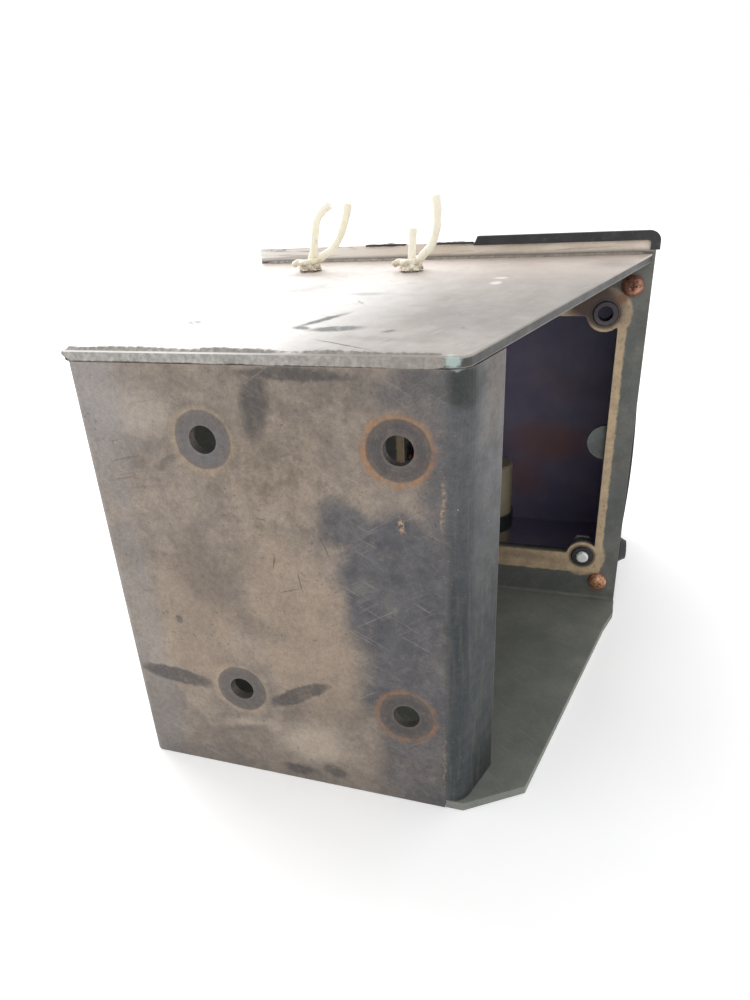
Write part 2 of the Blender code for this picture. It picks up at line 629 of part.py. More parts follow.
def motor():
    """The motor: can, stator and end flange, and the rotor whose shaft is the worm."""
    centre = (WHEEL_X, WORM_Y, 0)
    place("motor_flange", ring(0.0095, 0.0290, 0.0903, 0.0963, "Z", centre, 32), CASTING, smooth=True)
    wall = 0.0025
    profile = [(0.0100, 0.1830), (0.0100, 0.1860), (MOTOR_RADIUS - 0.003, 0.1860),
               (MOTOR_RADIUS, 0.1830), (MOTOR_RADIUS, 0.0966), (MOTOR_RADIUS - wall, 0.0966),
               (MOTOR_RADIUS - wall, 0.1830)]
    place("motor_can", turned(profile, "Z", centre, 32), BLACK_PAINT, smooth=True)
    place("stator_core", ring(0.0190, MOTOR_RADIUS - wall - GAP, 0.108, 0.168, "Z", centre, 32),
          OILED_STEEL, smooth=True)
    axis = (WHEEL_X, WORM_Y, SHAFT_Z)
    turning = pivot("motor_axis", axis)
    shaft = place("worm_shaft", disc(0.0040, 0.0190, 0.2050, "Z", centre, 16), BRIGHT_STEEL,
                  axis, turning, True)
    add(shaft, disc(WORM_RADIUS - 0.0016, -0.0170, 0.0170, "Z", axis, 10), worm_thread(axis))
    core = ring(0.0043, 0.0184, 0.110, 0.166, "Z", centre)
    place("rotor_core", core, OILED_STEEL, axis, turning, True)
    fan = place("motor_fan", ring(0.0043, 0.0085, 0.1885, 0.2030, "Z", centre, 16), GREY_PLASTIC,
                axis, turning)
    add(fan, ring(0.0060, 0.0245, 0.1885, 0.1900, "Z", centre, 28))
    blades = 6
    for i in range(blades):
        blade = box((0.0070, -0.0008, 0.1890), (0.0240, 0.0008, 0.2000))
        blade.transform(Matrix.Translation(centre) @ Matrix.Rotation(math.tau * i / blades, 4, "Z"))
        add(fan, blade)


def worm_thread(axis):
    """The worm's one helical ridge, centred on axis."""
    half, steps = 0.0140, 10
    crest, root = WORM_RADIUS + 0.0012, WORM_RADIUS - 0.0016
    ridge_root, ridge_crest = 0.00085, 0.00045
    turns = 2 * half / WORM_PITCH
    mesh = bmesh.new()
    rings = []
    for i in range(int(turns * steps) + 1):
        angle = math.tau * i / steps
        fade = min(1.0, i / 6, (int(turns * steps) - i) / 6)
        middle = -half + WORM_PITCH * i / steps
        section = ((root - 0.0012, -ridge_root), (root, -ridge_root),
                   (root + (crest - root) * max(fade, 0.15), -ridge_crest),
                   (root + (crest - root) * max(fade, 0.15), ridge_crest),
                   (root, ridge_root), (root - 0.0012, ridge_root))
        rings.append([
            mesh.verts.new((radius * math.cos(angle), radius * math.sin(angle), middle + height))
            for radius, height in section
        ])
    for before, after in zip(rings, rings[1:]):
        for k in range(6):
            j = (k + 1) % 6
            mesh.faces.new((before[k], before[j], after[j], after[k]))
    mesh.faces.new(rings[0])
    mesh.faces.new(rings[-1])
    bmesh.ops.recalc_face_normals(mesh, faces=mesh.faces)
    mesh.transform(Matrix.Translation(axis) @ Matrix.Rotation(math.pi / 2, 4, "Z"))
    return mesh


def limit_gear_train():
    """The limit cams on their geared spindle, the bracket beside them and the two switches."""
    centre = (0.0725, SHAFT_Y, CAM_Z)
    turning = pivot("cam_axis", centre)
    place("cam_spindle", disc(0.0030, -0.0058, 0.0270, "X", centre, 16), BRIGHT_STEEL,
          centre, turning, True)
    outline = gear_outline(CAM_TEETH, 0.0137, 0.0160, 0.52, 0.22, 0.5)
    teeth = [(SHAFT_Y + a, CAM_Z + b) for a, b in outline]
    gear = place("cam_gear", prism(teeth, 0.0702, 0.0743, "X"), NYLON, centre, turning)
    cut(gear, disc(0.0033, 0.06, 0.08, "X", (0, SHAFT_Y, CAM_Z), 16))
    for name, low, lobe, look in (
        ("open_limit_cam", 0.0790, 30, RED_PLASTIC),
        ("close_limit_cam", 0.0860, 0, GREEN_PLASTIC),
    ):
        bore = (SHAFT_Y, CAM_Z)
        rim = arc(bore, 0.0125, lobe + 22, lobe + 338, 18) + arc(bore, 0.0162, lobe - 10, lobe + 10, 3)
        cam = place(name, prism(rim, low, low + 0.004, "X"), look, centre, turning)
        cut(cam, disc(0.0033, 0.07, 0.10, "X", (0, SHAFT_Y, CAM_Z), 16))

    front = BASE_BACK + GAP
    bracket = place("limit_bracket", box((0.0945, front, 0.0600), (0.0962, 0.2360, 0.1080)), ZINC)
    add(bracket, box((0.0945, front, 0.0600), (0.1080, front + 0.0017, 0.1080)))
    cut(bracket, disc(0.0034, 0.09, 0.10, "X", (0, SHAFT_Y, CAM_Z), 16))
    for name, low in (("open", 0.0785), ("close", 0.0855)):
        body = box((low, 0.2120, 0.0935), (low + 0.0055, 0.2320, 0.1040))
        place(f"{name}_limit_switch", body, BLACK_PLASTIC)
        hinge = (low + 0.00275, 0.2310, 0.0922)
        blade = box((low + 0.0008, 0.2140, 0.0918), (low + 0.0047, 0.2312, 0.0925))
        place(f"{name}_switch_lever", blade, BRIGHT_STEEL, hinge)


def electrics():
    """Control board, transformer, relays, terminals, capacitor with its strap, and the button."""
    low, high = (tuple(BOARD[axis][i] for axis in "xyz") for i in (0, 1))
    face = low[1] - GAP
    place("control_board", box(low, high), BOARD_GREEN)
    core = place("transformer", box((0.081, face - 0.034, 0.088), (0.115, face, 0.118)), OILED_STEEL)
    add(core, box((0.0845, face - 0.036, 0.092), (0.1115, face - 0.002, 0.1225)))
    for name, x in (("open_relay", 0.081), ("close_relay", 0.101)):
        place(name, box((x, face - 0.0155, 0.128), (x + 0.0160, face, 0.1480)), BLUE_PLASTIC)
    strip = place("terminal_block", box((0.081, face - 0.011, 0.156), (0.127, face, 0.167)), GREY_PLASTIC)
    ways = 6
    for i in range(ways):
        x = 0.0855 + i * 0.0073
        cut(strip, disc(0.0020, 0.255, face - 0.006, "Y", (x, 0, 0.1635), 10))
        cut(strip, box((x - 0.002, 0.255, 0.1545), (x + 0.002, face - 0.004, 0.1590)))
    floor = COVER_WALL + GAP
    centre = (0.1285, 0.240, floor)
    profile = [(0, 0), (0.0165, 0), (0.0175, 0.001), (0.0175, 0.0640), (0.0160, 0.0655), (0, 0.0655)]
    place("motor_capacitor", turned(profile, "Z", centre, 28), CREAM_PLASTIC, smooth=True)
    strap = place("capacitor_strap", ring(0.0178, 0.0190, 0.020, 0.032, "Z", (centre[0], centre[1], 0), 28),
                  ZINC, smooth=True)
    add(strap, box((centre[0] - 0.006, centre[1] + 0.0183, 0.020),
                   (centre[0] + 0.006, COVER_BACK - COVER_WALL - GAP, 0.032)))
    button_back = COVER_BACK + 0.0025
    centre = (BUTTON_X, button_back, BUTTON_Z)
    cap = turned([(0, -0.0100), (0.0040, -0.0100), (0.0040, -0.0008), (0.0034, 0), (0, 0)],
                 "Y", centre, 20)
    place("learn_button", cap, YELLOW_PLASTIC, centre, smooth=True)


def release_lever():
    """The manual release: a handle outside, a spindle, and a finger in the clutch's groove."""
    axis = (LEVER_X, COVER_BACK + 0.0008, LEVER_Z)
    turning = pivot("release_axis", axis)
    spindle = place("release_spindle", disc(0.0035, 0.2190, 0.2985, "Y", (LEVER_X, 0, LEVER_Z), 16),
                    BRIGHT_STEEL, axis, turning, True)
    finger = box((LEVER_X - 0.0010, 0.2210, 0.0650), (LEVER_X + 0.0010, 0.2270, LEVER_Z))
    add(spindle, finger, disc(0.0060, 0.2200, 0.2280, "Y", (LEVER_X, 0, LEVER_Z), 16))
    outline = arc((LEVER_X, LEVER_Z), 0.0085, 0, 180, 10)
    outline += arc((LEVER_X, LEVER_Z - 0.040), 0.0060, 180, 360, 10)
    arm = place("release_lever", prism(outline, COVER_BACK + 0.0008, COVER_BACK + 0.0052, "Y"),
                RED_PLASTIC, axis, turning)
    cut(arm, disc(0.0038, 0.28, 0.31, "Y", (LEVER_X, 0, LEVER_Z), 16))
    grip = disc(0.0052, COVER_BACK + 0.0040, COVER_BACK + 0.0090, "Y",
                (LEVER_X, 0, LEVER_Z - 0.040), 16)
    add(arm, grip)


clear_scene()
opener_frame = bpy.data.objects.new("opener_frame", None)
bpy.context.scene.collection.objects.link(opener_frame)
opener_frame.location = CORNER

STEEL = material("worn_steel", (0.30, 0.27, 0.24), 0.55, 0.6)
RUBBER = material("black_rubber", (0.03, 0.03, 0.035), 0.75)
NYLON = material("white_nylon", (0.85, 0.82, 0.70), 0.45)
COPPER = material("copper_plate", (0.62, 0.36, 0.22), 0.4, 0.8)
ZINC = material("zinc_plate", (0.42, 0.45, 0.44), 0.4, 0.8)
BLACK_PLASTIC = material("black_plastic", (0.025, 0.025, 0.03), 0.5)
GREY_PLASTIC = material("grey_plastic", (0.25, 0.26, 0.27), 0.5)
CREAM_PLASTIC = material("cream_plastic", (0.70, 0.66, 0.52), 0.45)
RED_PLASTIC = material("red_plastic", (0.55, 0.05, 0.04), 0.4)
GREEN_PLASTIC = material("green_plastic", (0.08, 0.35, 0.15), 0.4)
BLUE_PLASTIC = material("blue_plastic", (0.05, 0.12, 0.35), 0.4)
YELLOW_PLASTIC = material("yellow_plastic", (0.80, 0.60, 0.08), 0.4)
BOARD_GREEN = material("board_green", (0.03, 0.14, 0.08), 0.45)
CASTING = material("painted_casting", (0.05, 0.05, 0.06), 0.5, 0.2)
BLACK_PAINT = material("black_paint", (0.03, 0.03, 0.035), 0.35)
BRONZE = material("bronze", (0.55, 0.38, 0.16), 0.35, 1.0)
BRIGHT_STEEL = material("bright_steel", (0.60, 0.60, 0.60), 0.25, 1.0)
OILED_STEEL = material("oiled_steel", (0.16, 0.15, 0.14), 0.4, 0.9)

folded_front()
top_panel()
rear_and_base()
edge_trim()
wire_ties()
cover_screws()
drive_fasteners()
drive_base()
rear_cover()
cable_gland()
gearbox()
output_shaft()
worm_wheel()
clutch()
motor()
limit_gear_train()
electrics()
release_lever()
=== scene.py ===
"""The looks of the side-mounted garage door opener: worn welded steel in front, a drive behind.

Lengths named _MM and every place in a look are millimetres from the front's lower left corner.
Colours given as three numbers are screen colours of 0 to 255.
"""

import json
import math

import bmesh
import bpy
from mathutils import Euler, Matrix, Vector, noise


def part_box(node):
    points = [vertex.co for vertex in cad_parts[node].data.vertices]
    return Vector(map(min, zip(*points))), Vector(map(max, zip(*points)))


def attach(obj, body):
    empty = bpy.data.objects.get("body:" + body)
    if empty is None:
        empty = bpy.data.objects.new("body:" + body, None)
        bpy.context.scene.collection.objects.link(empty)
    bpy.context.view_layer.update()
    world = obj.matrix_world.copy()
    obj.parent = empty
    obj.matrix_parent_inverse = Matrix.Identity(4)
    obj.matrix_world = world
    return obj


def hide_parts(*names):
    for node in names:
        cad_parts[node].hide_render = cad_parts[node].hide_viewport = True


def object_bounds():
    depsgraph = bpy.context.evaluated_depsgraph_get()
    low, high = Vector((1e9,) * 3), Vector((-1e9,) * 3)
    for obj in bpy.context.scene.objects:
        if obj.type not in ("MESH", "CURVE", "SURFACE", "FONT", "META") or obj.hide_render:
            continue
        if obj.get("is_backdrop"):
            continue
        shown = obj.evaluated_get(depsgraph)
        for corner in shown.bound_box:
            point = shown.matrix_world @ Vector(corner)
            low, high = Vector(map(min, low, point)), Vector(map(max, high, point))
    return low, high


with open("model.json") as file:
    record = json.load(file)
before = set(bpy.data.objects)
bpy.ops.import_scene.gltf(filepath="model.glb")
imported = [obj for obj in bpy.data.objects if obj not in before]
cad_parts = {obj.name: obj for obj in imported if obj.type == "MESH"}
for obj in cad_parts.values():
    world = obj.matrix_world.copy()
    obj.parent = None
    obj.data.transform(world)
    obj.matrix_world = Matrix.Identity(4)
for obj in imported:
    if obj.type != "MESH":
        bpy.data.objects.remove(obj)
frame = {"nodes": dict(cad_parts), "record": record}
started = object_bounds()
NODES = frame["nodes"]
MM = 0.001

# Where the front's lower left corner stands, in the frame's millimetres
WALL_LEFT_MM = -1.5
FRONT_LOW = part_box("front_panel")[0]
CORNER_MM = Vector((FRONT_LOW.x / MM - WALL_LEFT_MM, FRONT_LOW.y / MM, 0))

# The lid's upper face at the front, and its rise for each millimetre back
TOP_FRONT_MM = 194.4
TOP_SLOPE = 0.089

# Across and up: the front's bolt holes, the rear window's ears, its middle and half its size
BOLTS_MM = ((52.2, 46.9), (126.6, 46.9), (52.2, 162.15), (126.6, 162.15))
EARS_MM = ((89.4, 33.0), (89.4, 180.5), (195.9, 33.0), (195.9, 180.5))
WINDOW_MIDDLE_MM = (142.6, 104.5)
WINDOW_HALF_MM = (64.6, 83.0)

# Just in front of the rear sheet, where its welds and scraps of edging sit
REAR_FACE_MM = 176.6

# For patches: the axis square to a sheet, the sheet's place on it and a patch's reach along it
FRONT_PLANE = (1, 0, 60)
LID_PLANE = (2, 200, 60)
REAR_PLANE = (1, 180, 30)
ROOM_PLANE = (1, 290, 60)

# The camera's place and turns, solved from the housing's edges
CAMERA_MM = Vector((180.27, -200.09, 236.84))
CAMERA_TURNS = (65.9414, 2.5180, 16.2639)
CAMERA_LENS_MM = 23.453


def srgb(red, green, blue):
    """A screen colour of 0 to 255, as linear light."""
    def linear(value):
        value /= 255
        return value / 12.92 if value <= 0.04045 else ((value + 0.055) / 1.055) ** 2.4
    return (linear(red), linear(green), linear(blue), 1.0)


class Look:
    """A Principled material built node by node, in millimetres from the corner."""

    def __init__(self, name, metallic=0.0, specular=0.5, plane=FRONT_PLANE):
        self.made = bpy.data.materials.new(name)
        self.made.use_nodes = True
        self.tree = self.made.node_tree
        self.shader = self.tree.nodes["Principled BSDF"]
        self.shader.inputs["Metallic"].default_value = metallic
        self.shader.inputs["Specular IOR Level"].default_value = specular
        where = self.new("TexCoord")
        scaled = self.new("Mapping")
        scaled.inputs["Scale"].default_value = (1 / MM, 1 / MM, 1 / MM)
        scaled.inputs["Location"].default_value = -CORNER_MM
        self.tree.links.new(where.outputs["Object"], scaled.inputs["Vector"])
        self.place = scaled.outputs["Vector"]
        self.plane = plane
        self.colour = None
        self.bumps = None
        self.warps = {}

    def new(self, kind):
        return self.tree.nodes.new("ShaderNode" + kind)

    def feed(self, socket, value):
        """Links or sets an input, whichever the value asks for."""
        if isinstance(value, bpy.types.NodeSocket):
            self.tree.links.new(value, socket)
        elif isinstance(value, (int, float)) and socket.type in ("RGBA", "VECTOR"):
            socket.default_value = (value,) * len(socket.default_value)
        else:
            socket.default_value = value

    def math(self, kind, a, b=0.0):
        node = self.new("Math")
        node.operation = kind
        self.feed(node.inputs[0], a)
        self.feed(node.inputs[1], b)
        return node.outputs[0]

    def span(self, value, low, high, start=0.0, end=1.0):
        """value from low to high becomes start to end, smoothly."""
        node = self.new("MapRange")
        node.interpolation_type = "SMOOTHSTEP"
        for socket, number in zip(("From Min", "From Max", "To Min", "To Max"), (low, high, start, end)):
            node.inputs[socket].default_value = number
        self.feed(node.inputs["Value"], value)
        return node.outputs["Result"]

    def stretched(self, stretch, turn=0.0, axis=1):
        """The place, turned in degrees about an axis and then stretched by a factor per axis."""
        place = self.place
        if turn:
            rotated = self.new("Mapping")
            rotated.inputs["Rotation"].default_value[axis] = math.radians(turn)
            self.feed(rotated.inputs["Vector"], place)
            place = rotated.outputs["Vector"]
        node = self.new("Mapping")
        node.inputs["Scale"].default_value = stretch
        self.feed(node.inputs["Vector"], place)
        return node.outputs["Vector"]

    def noise_node(self, size, detail, rough, vector, seed):
        node = self.new("TexNoise")
        node.noise_dimensions = "4D"
        node.inputs["W"].default_value = seed
        node.inputs["Scale"].default_value = 1 / size
        node.inputs["Detail"].default_value = detail
        node.inputs["Roughness"].default_value = rough
        self.feed(node.inputs["Vector"], vector)
        return node

    def noise(self, size, detail=4.0, rough=0.55, vector=None, seed=0.0):
        """Cloudy noise whose features are about size millimetres."""
        return self.noise_node(size, detail, rough, vector or self.place, seed).outputs["Fac"]

    def cloud(self, size, detail, rough, seed, low, high, start=0.0, end=1.0):
        """Noise in soft patches: where it goes from low to high, start becomes end."""
        return self.span(self.noise(size, detail, rough, seed=seed), low, high, start, end)

    def warped(self, size, amount, seed=3.0):
        """The place pushed about by noise, so that a patch's edge wanders."""
        key = (size, amount, seed)
        if key not in self.warps:
            cloud = self.noise_node(size, 5.0, 0.62, self.place, seed)
            centred = self.new("VectorMath")
            centred.operation = "SUBTRACT"
            self.feed(centred.inputs[0], cloud.outputs["Color"])
            centred.inputs[1].default_value = (0.5, 0.5, 0.5)
            pushed = self.new("VectorMath")
            pushed.operation = "MULTIPLY_ADD"
            self.feed(pushed.inputs[0], centred.outputs[0])
            pushed.inputs[1].default_value = (amount,) * 3
            self.feed(pushed.inputs[2], self.place)
            self.warps[key] = pushed.outputs[0]
        return self.warps[key]

    def length(self, centre, radii, turn, axis, vector):
        """Distance from a centre, in units of the radii."""
        node = self.new("Mapping")
        node.vector_type = "TEXTURE"
        node.inputs["Location"].default_value = centre
        node.inputs["Rotation"].default_value[axis] = math.radians(turn)
        node.inputs["Scale"].default_value = radii
        self.feed(node.inputs["Vector"], vector or self.place)
        far = self.new("VectorMath")
        far.operation = "LENGTH"
        self.feed(far.inputs[0], node.outputs["Vector"])
        return far.outputs["Value"]

    def spot(self, centre, radii, turn, soft, axis, vector, strength=1.0):
        """strength inside an ellipsoid, falling to 0 at its edge. soft is the edge's share."""
        far = self.length(centre, radii, turn, axis, vector)
        return self.span(far, 1.0, 1.0 - soft, 0.0, strength)

    def patch(self, vector, across, up, wide, high, turn, soft, strength=1.0):
        """A spot on the look's plane, right through the sheet."""
        flat, level, deep = self.plane
        centre = [across, up]
        centre.insert(flat, level)
        radii = [wide, high]
        radii.insert(flat, deep)
        return self.spot(centre, radii, turn, soft, flat, vector, strength)

    def patches(self, vector, *rows):
        return [self.patch(vector, *row) for row in rows]

    def reach(self, across, up, vector=None):
        """Distance from a line straight through the front, in millimetres."""
        return self.length((across, 0, up), (1.0, 1e6, 1.0), 0.0, 1, vector)

    def axis(self, letter, vector=None):
        node = self.new("SeparateXYZ")
        self.feed(node.inputs[0], vector or self.place)
        return node.outputs[letter]

    def most(self, *values):
        total = values[0]
        for value in values[1:]:
            total = self.math("MAXIMUM", total, value)
        return total

    def times(self, *values):
        total = values[0]
        for value in values[1:]:
            total = self.math("MULTIPLY", total, value)
        return total

    def mix(self, share, under, over, blend="MIX"):
        node = self.new("Mix")
        node.data_type = "RGBA"
        node.blend_type = blend
        self.feed(node.inputs["Factor"], share)
        self.feed(node.inputs[6], under)
        self.feed(node.inputs[7], over)
        return node.outputs[2]

    def tones(self, share, under, over):
        """From one screen colour to another."""
        return self.mix(share, srgb(*under), srgb(*over))

    def tint(self, over, *shares):
        """Lays a screen colour, or a socket's, on the look so far, by the shares' product."""
        if not isinstance(over, bpy.types.NodeSocket):
            over = srgb(*over)
        self.colour = self.mix(self.times(*shares), self.colour, over)

    def speckle(self, share, value, dark, light):
        """Darkens and lightens the look so far, between two greys."""
        grey = self.mix(value, (dark, dark, dark, 1), (light, light, light, 1))
        self.colour = self.mix(share, self.colour, grey, "SOFT_LIGHT")

    def worn_edge(self, radius, low=0.02, high=0.25):
        """1 on sharp edges, from how far a rounded normal leans from the true one."""
        rounded = self.new("Bevel")
        rounded.samples = 4
        rounded.inputs["Radius"].default_value = radius * MM
        true = self.new("NewGeometry")
        lean = self.new("VectorMath")
        lean.operation = "DOT_PRODUCT"
        self.feed(lean.inputs[0], rounded.outputs[0])
        self.feed(lean.inputs[1], true.outputs["Normal"])
        return self.span(self.math("SUBTRACT", 1.0, lean.outputs["Value"]), low, high)

    def bump(self, height, distance, strength=1.0):
        """Adds relief: height times distance in millimetres."""
        node = self.new("Bump")
        node.inputs["Strength"].default_value = strength
        node.inputs["Distance"].default_value = distance * MM
        self.feed(node.inputs["Height"], height)
        if self.bumps:
            self.feed(node.inputs["Normal"], self.bumps)
        self.bumps = node.outputs["Normal"]

    def done(self, roughness):
        self.feed(self.shader.inputs["Base Color"], self.colour)
        self.feed(self.shader.inputs["Roughness"], roughness)
        if self.bumps:
            self.feed(self.shader.inputs["Normal"], self.bumps)
        return self.made


class Sheet(Look):
    """A steel sheet's look, with a wandering place, a ragged one and the three axes."""

    def __init__(self, name, metallic, specular, plane, wander, ragged):
        super().__init__(name, metallic, specular, plane)
        self.wander = self.warped(*wander)
        self.ragged = self.warped(*ragged)
        self.x, self.y, self.z = (self.axis(letter) for letter in "XYZ")


def front_ground(look):
    """Tan mill scale, with browner and paler clouds. Gives the two finer clouds."""
    wander = look.wander
    ragged = look.ragged
    cloud = look.cloud(30, 6, 0.62, 2.0, 0.36, 0.66)
    mottle = look.cloud(7, 6, 0.7, 5.0, 0.35, 0.7)
    look.colour = look.tones(cloud, (124, 115, 107), (158, 145, 132))
    look.tint((112, 103, 96), mottle, 0.6)
    blotch = look.cloud(13, 6, 0.68, 31.0, 0.46, 0.62)
    look.tint((170, 155, 140), blotch, 0.4)
    tan = look.most(*look.patches(
        wander, (35, 78, 30, 52, 8, 0.6), (82, 82, 30, 60, -14, 0.5), (78, 150, 34, 26, 0, 0.7, 0.6)))
    look.tint((168, 149, 129), tan, 0.5)
    pale = look.most(*look.patches(
        wander, (84, 22, 24, 17, 0, 0.8), (58, 28, 26, 5, -8, 0.8, 0.7), (26, 172, 22, 16, 0, 0.9, 0.6)))
    look.tint((192, 178, 162), pale, 0.75)
    dim = look.most(
        *look.patches(wander, (44, 101, 22, 20, 20, 0.8), (64, 80, 20, 9, 25, 0.8, 0.7)),
        *look.patches(ragged, (64, 154, 5, 6, 0, 0.8, 0.8), (55, 25, 13, 3.4, -14, 0.7),
                      (18, 34, 7, 8, 0, 0.8)),
    )
    look.tint((104, 95, 90), dim, 0.55)
    return mottle, blotch


def front_margins(look):
    """Grey streaks down the left and along the foot, stains higher up, and a painted highlight: a pale glow
    in the upper left corner.
    """
    streaked = look.span(look.noise(6, 5, 0.65, look.stretched((1, 1, 0.5)), 33.0), 0.3, 0.65, 0.3, 1.0)
    margin = look.span(look.axis("X", look.warped(9, 5)), 21, 14)
    look.tint((150, 144, 140), margin, streaked, 0.7)
    look.tint((116, 111, 108), margin, look.span(look.z, 60, 20), 0.6)
    foot = look.span(look.axis("Z", look.wander), 17, 3)
    look.tint((112, 107, 104), foot, streaked, 0.5)
    upper = look.patch(look.wander, 74, 150, 52, 44, 0, 0.8)
    stained = look.cloud(9, 6, 0.72, 51.0, 0.44, 0.62)
    look.tint((108, 98, 84), upper, stained, 0.55)
    # Painted highlight: a pale glow of light over the upper left corner
    painted_glow = look.patch(look.wander, 0, 178, 48, 34, 20, 0.9)
    look.tint((168, 164, 164), painted_glow, 0.45)


def front_slate(look, face):
    """Blue-grey stains down the right, with a paler one among them."""
    wander = look.wander
    slate = look.most(
        *look.patches(wander, (124, 104, 25, 42, 0, 0.3), (105, 132, 15, 13, 20, 0.5, 0.9),
                      (128, 60, 22, 34, 0, 0.35, 0.95), (134, 18, 26, 34, 0, 0.5, 0.8),
                      (142, 182, 32, 15, 6, 0.6, 0.85)),
        look.times(look.span(look.axis("X", wander), 130, 139), 0.85),
    )
    worn_through = look.cloud(8, 6, 0.7, 35.0, 0.52, 0.7, 1.0, 0.66)
    slates = look.tones(look.cloud(12, 6, 0.66, 36.0, 0.36, 0.66), (80, 80, 85),
                        (101, 100, 102))
    look.tint(slates, slate, worn_through, face)
    pale_slate = look.patch(wander, 112, 107, 10, 7, -20, 0.8)
    look.tint((126, 120, 118), pale_slate, 0.4, face)


def front_smears(look, face):
    """Wiped dark smears, and a few short knocks."""
    smears = look.most(*look.patches(
        look.ragged, (19.5, 48.6, 21, 5.2, 6, 0.35), (79.5, 49.0, 18, 4.2, -28, 0.3),
        (75, 177, 7.5, 18, 10, 0.6), (90, 187.4, 28, 3.2, 0, 0.5), (76, 5.5, 11, 4.5, 0, 0.6, 0.9),
        (93, 8.5, 9, 4.5, 20, 0.6, 0.8), (27, 80, 2.2, 3.2, 0, 0.6, 0.8),
        (36, 153, 11, 2.6, -30, 0.7, 0.55)))
    wiped = look.noise(3.0, 4, 0.6, look.stretched((1, 1, 0.6), 20), 4.0)
    look.tint((80, 76, 75), smears, look.span(wiped, 0.3, 0.55, 0.72, 1.0), face, 0.85)
    knocks = ((75.2, 113, 0.45, 4.5, 12), (85.4, 105.5, 0.45, 6.2, -8), (80.5, 101, 6, 0.3, -18),
              (72, 131.5, 2.6, 0.3, 8), (97, 122, 0.3, 7, -20))
    for knock in knocks:
        look.tint((66, 60, 58), look.patch(None, *knock, 0.6, 0.6))


def front_scratches(look, face):
    """Crossed brushing, fine dark hairs in combed patches, and pits."""
    brushed = look.most(*[
        look.span(look.noise(0.9, 2, 0.5, look.stretched((1, 1, 0.04), turn), 40.0 + turn), 0.58, 0.7)
        for turn in (62, -58)])
    patchy = look.most(look.cloud(20, 3, 0.5, 41.0, 0.48, 0.62),
                       look.patch(look.wander, 118, 94, 22, 14, 20, 0.7))
    look.tint((186, 176, 164), brushed, patchy, face, 0.22)
    hairs = look.span(look.noise(1.3, 2, 0.5, look.stretched((0.05, 1, 1), 12), 49.0), 0.6, 0.68)
    combed = look.most(*look.patches(
        look.wander, (20, 152, 22, 18, 0, 0.6), (40, 178, 24, 10, 0, 0.8, 0.6),
        (66, 108, 22, 20, 0, 0.8, 0.5)))
    look.tint((88, 80, 76), hairs, combed, face, 0.5)
    pits = look.times(look.cloud(1.7, 4, 0.65, 42.0, 0.41, 0.33),
                      look.cloud(16, 4, 0.6, 43.0, 0.44, 0.58))
    look.tint((78, 71, 67), pits, face, 0.55)


def washer_rings(look, face):
    """A turned grey disc round each bolt hole, with a rusty halo. Gives the discs' shapes."""
    rims = ((0.6, (178, 158, 136)), (0.8, (152, 112, 80)), (0.5, (178, 156, 128)), (0.9, (162, 120, 82)))
    discs = ((96, 92, 90), (80, 75, 74), (104, 102, 103), (74, 70, 72))
    dips = []
    for (across, up), (strength, rust), grey in zip(BOLTS_MM, rims, discs):
        far = look.reach(across, up, look.warped(9, 1.6))
        broken = look.cloud(5, 5, 0.65, across + up, 0.34, 0.6, 0.25, 1.0)
        fuzzy = look.reach(across - 0.4, up - 0.4, look.warped(3.5, 3.4))
        halo = look.times(look.span(fuzzy, 15.0, 11.6), look.span(far, 10.4, 11.8), broken, face)
        look.tint(rust, halo, strength)
        disc = look.span(far, 11.9, 11.1)
        turned = look.math("SINE", look.math("MULTIPLY", look.reach(across, up), 5.2))
        tone = look.tones(look.span(turned, -1, 1, 0.0, 0.12), grey, (118, 114, 112))
        dirty = look.cloud(4, 5, 0.65, up, 0.44, 0.72, 0.0, 0.6)
        tone = look.mix(dirty, tone, srgb(112, 102, 95))
        tone = look.mix(look.span(far, 8.5, 11.0, 0.0, 0.35), tone, srgb(118, 104, 92))
        look.tint(tone, disc, face, 0.92)
        rim = look.times(look.span(look.reach(across, up), 7.0, 6.0), face)
        look.tint((124, 116, 108), rim, 0.15)
        dips.append(look.span(look.reach(across, up), 11.9, 11.1))
    return dips


def front_drips_and_highlights(look):
    """A rusty drip below the upper right hole, and painted highlights in thin pale streaks down the right
    edge along the bend.
    """
    # Rust below the hole; the two streaks on the bend line at x 142 are painted highlights
    drips_and_highlights = look.most(*look.patches(
        look.ragged, (127.2, 134, 1.9, 4.8, -8, 0.7), (142, 143, 1.2, 13, 0, 0.7, 0.8),
        (142.4, 26, 0.8, 24, 0, 0.7, 0.55)))
    flecked = look.cloud(1.6, 3, 0.6, 8.0, 0.42, 0.6)
    look.tint((190, 160, 126), drips_and_highlights, flecked, 0.9)


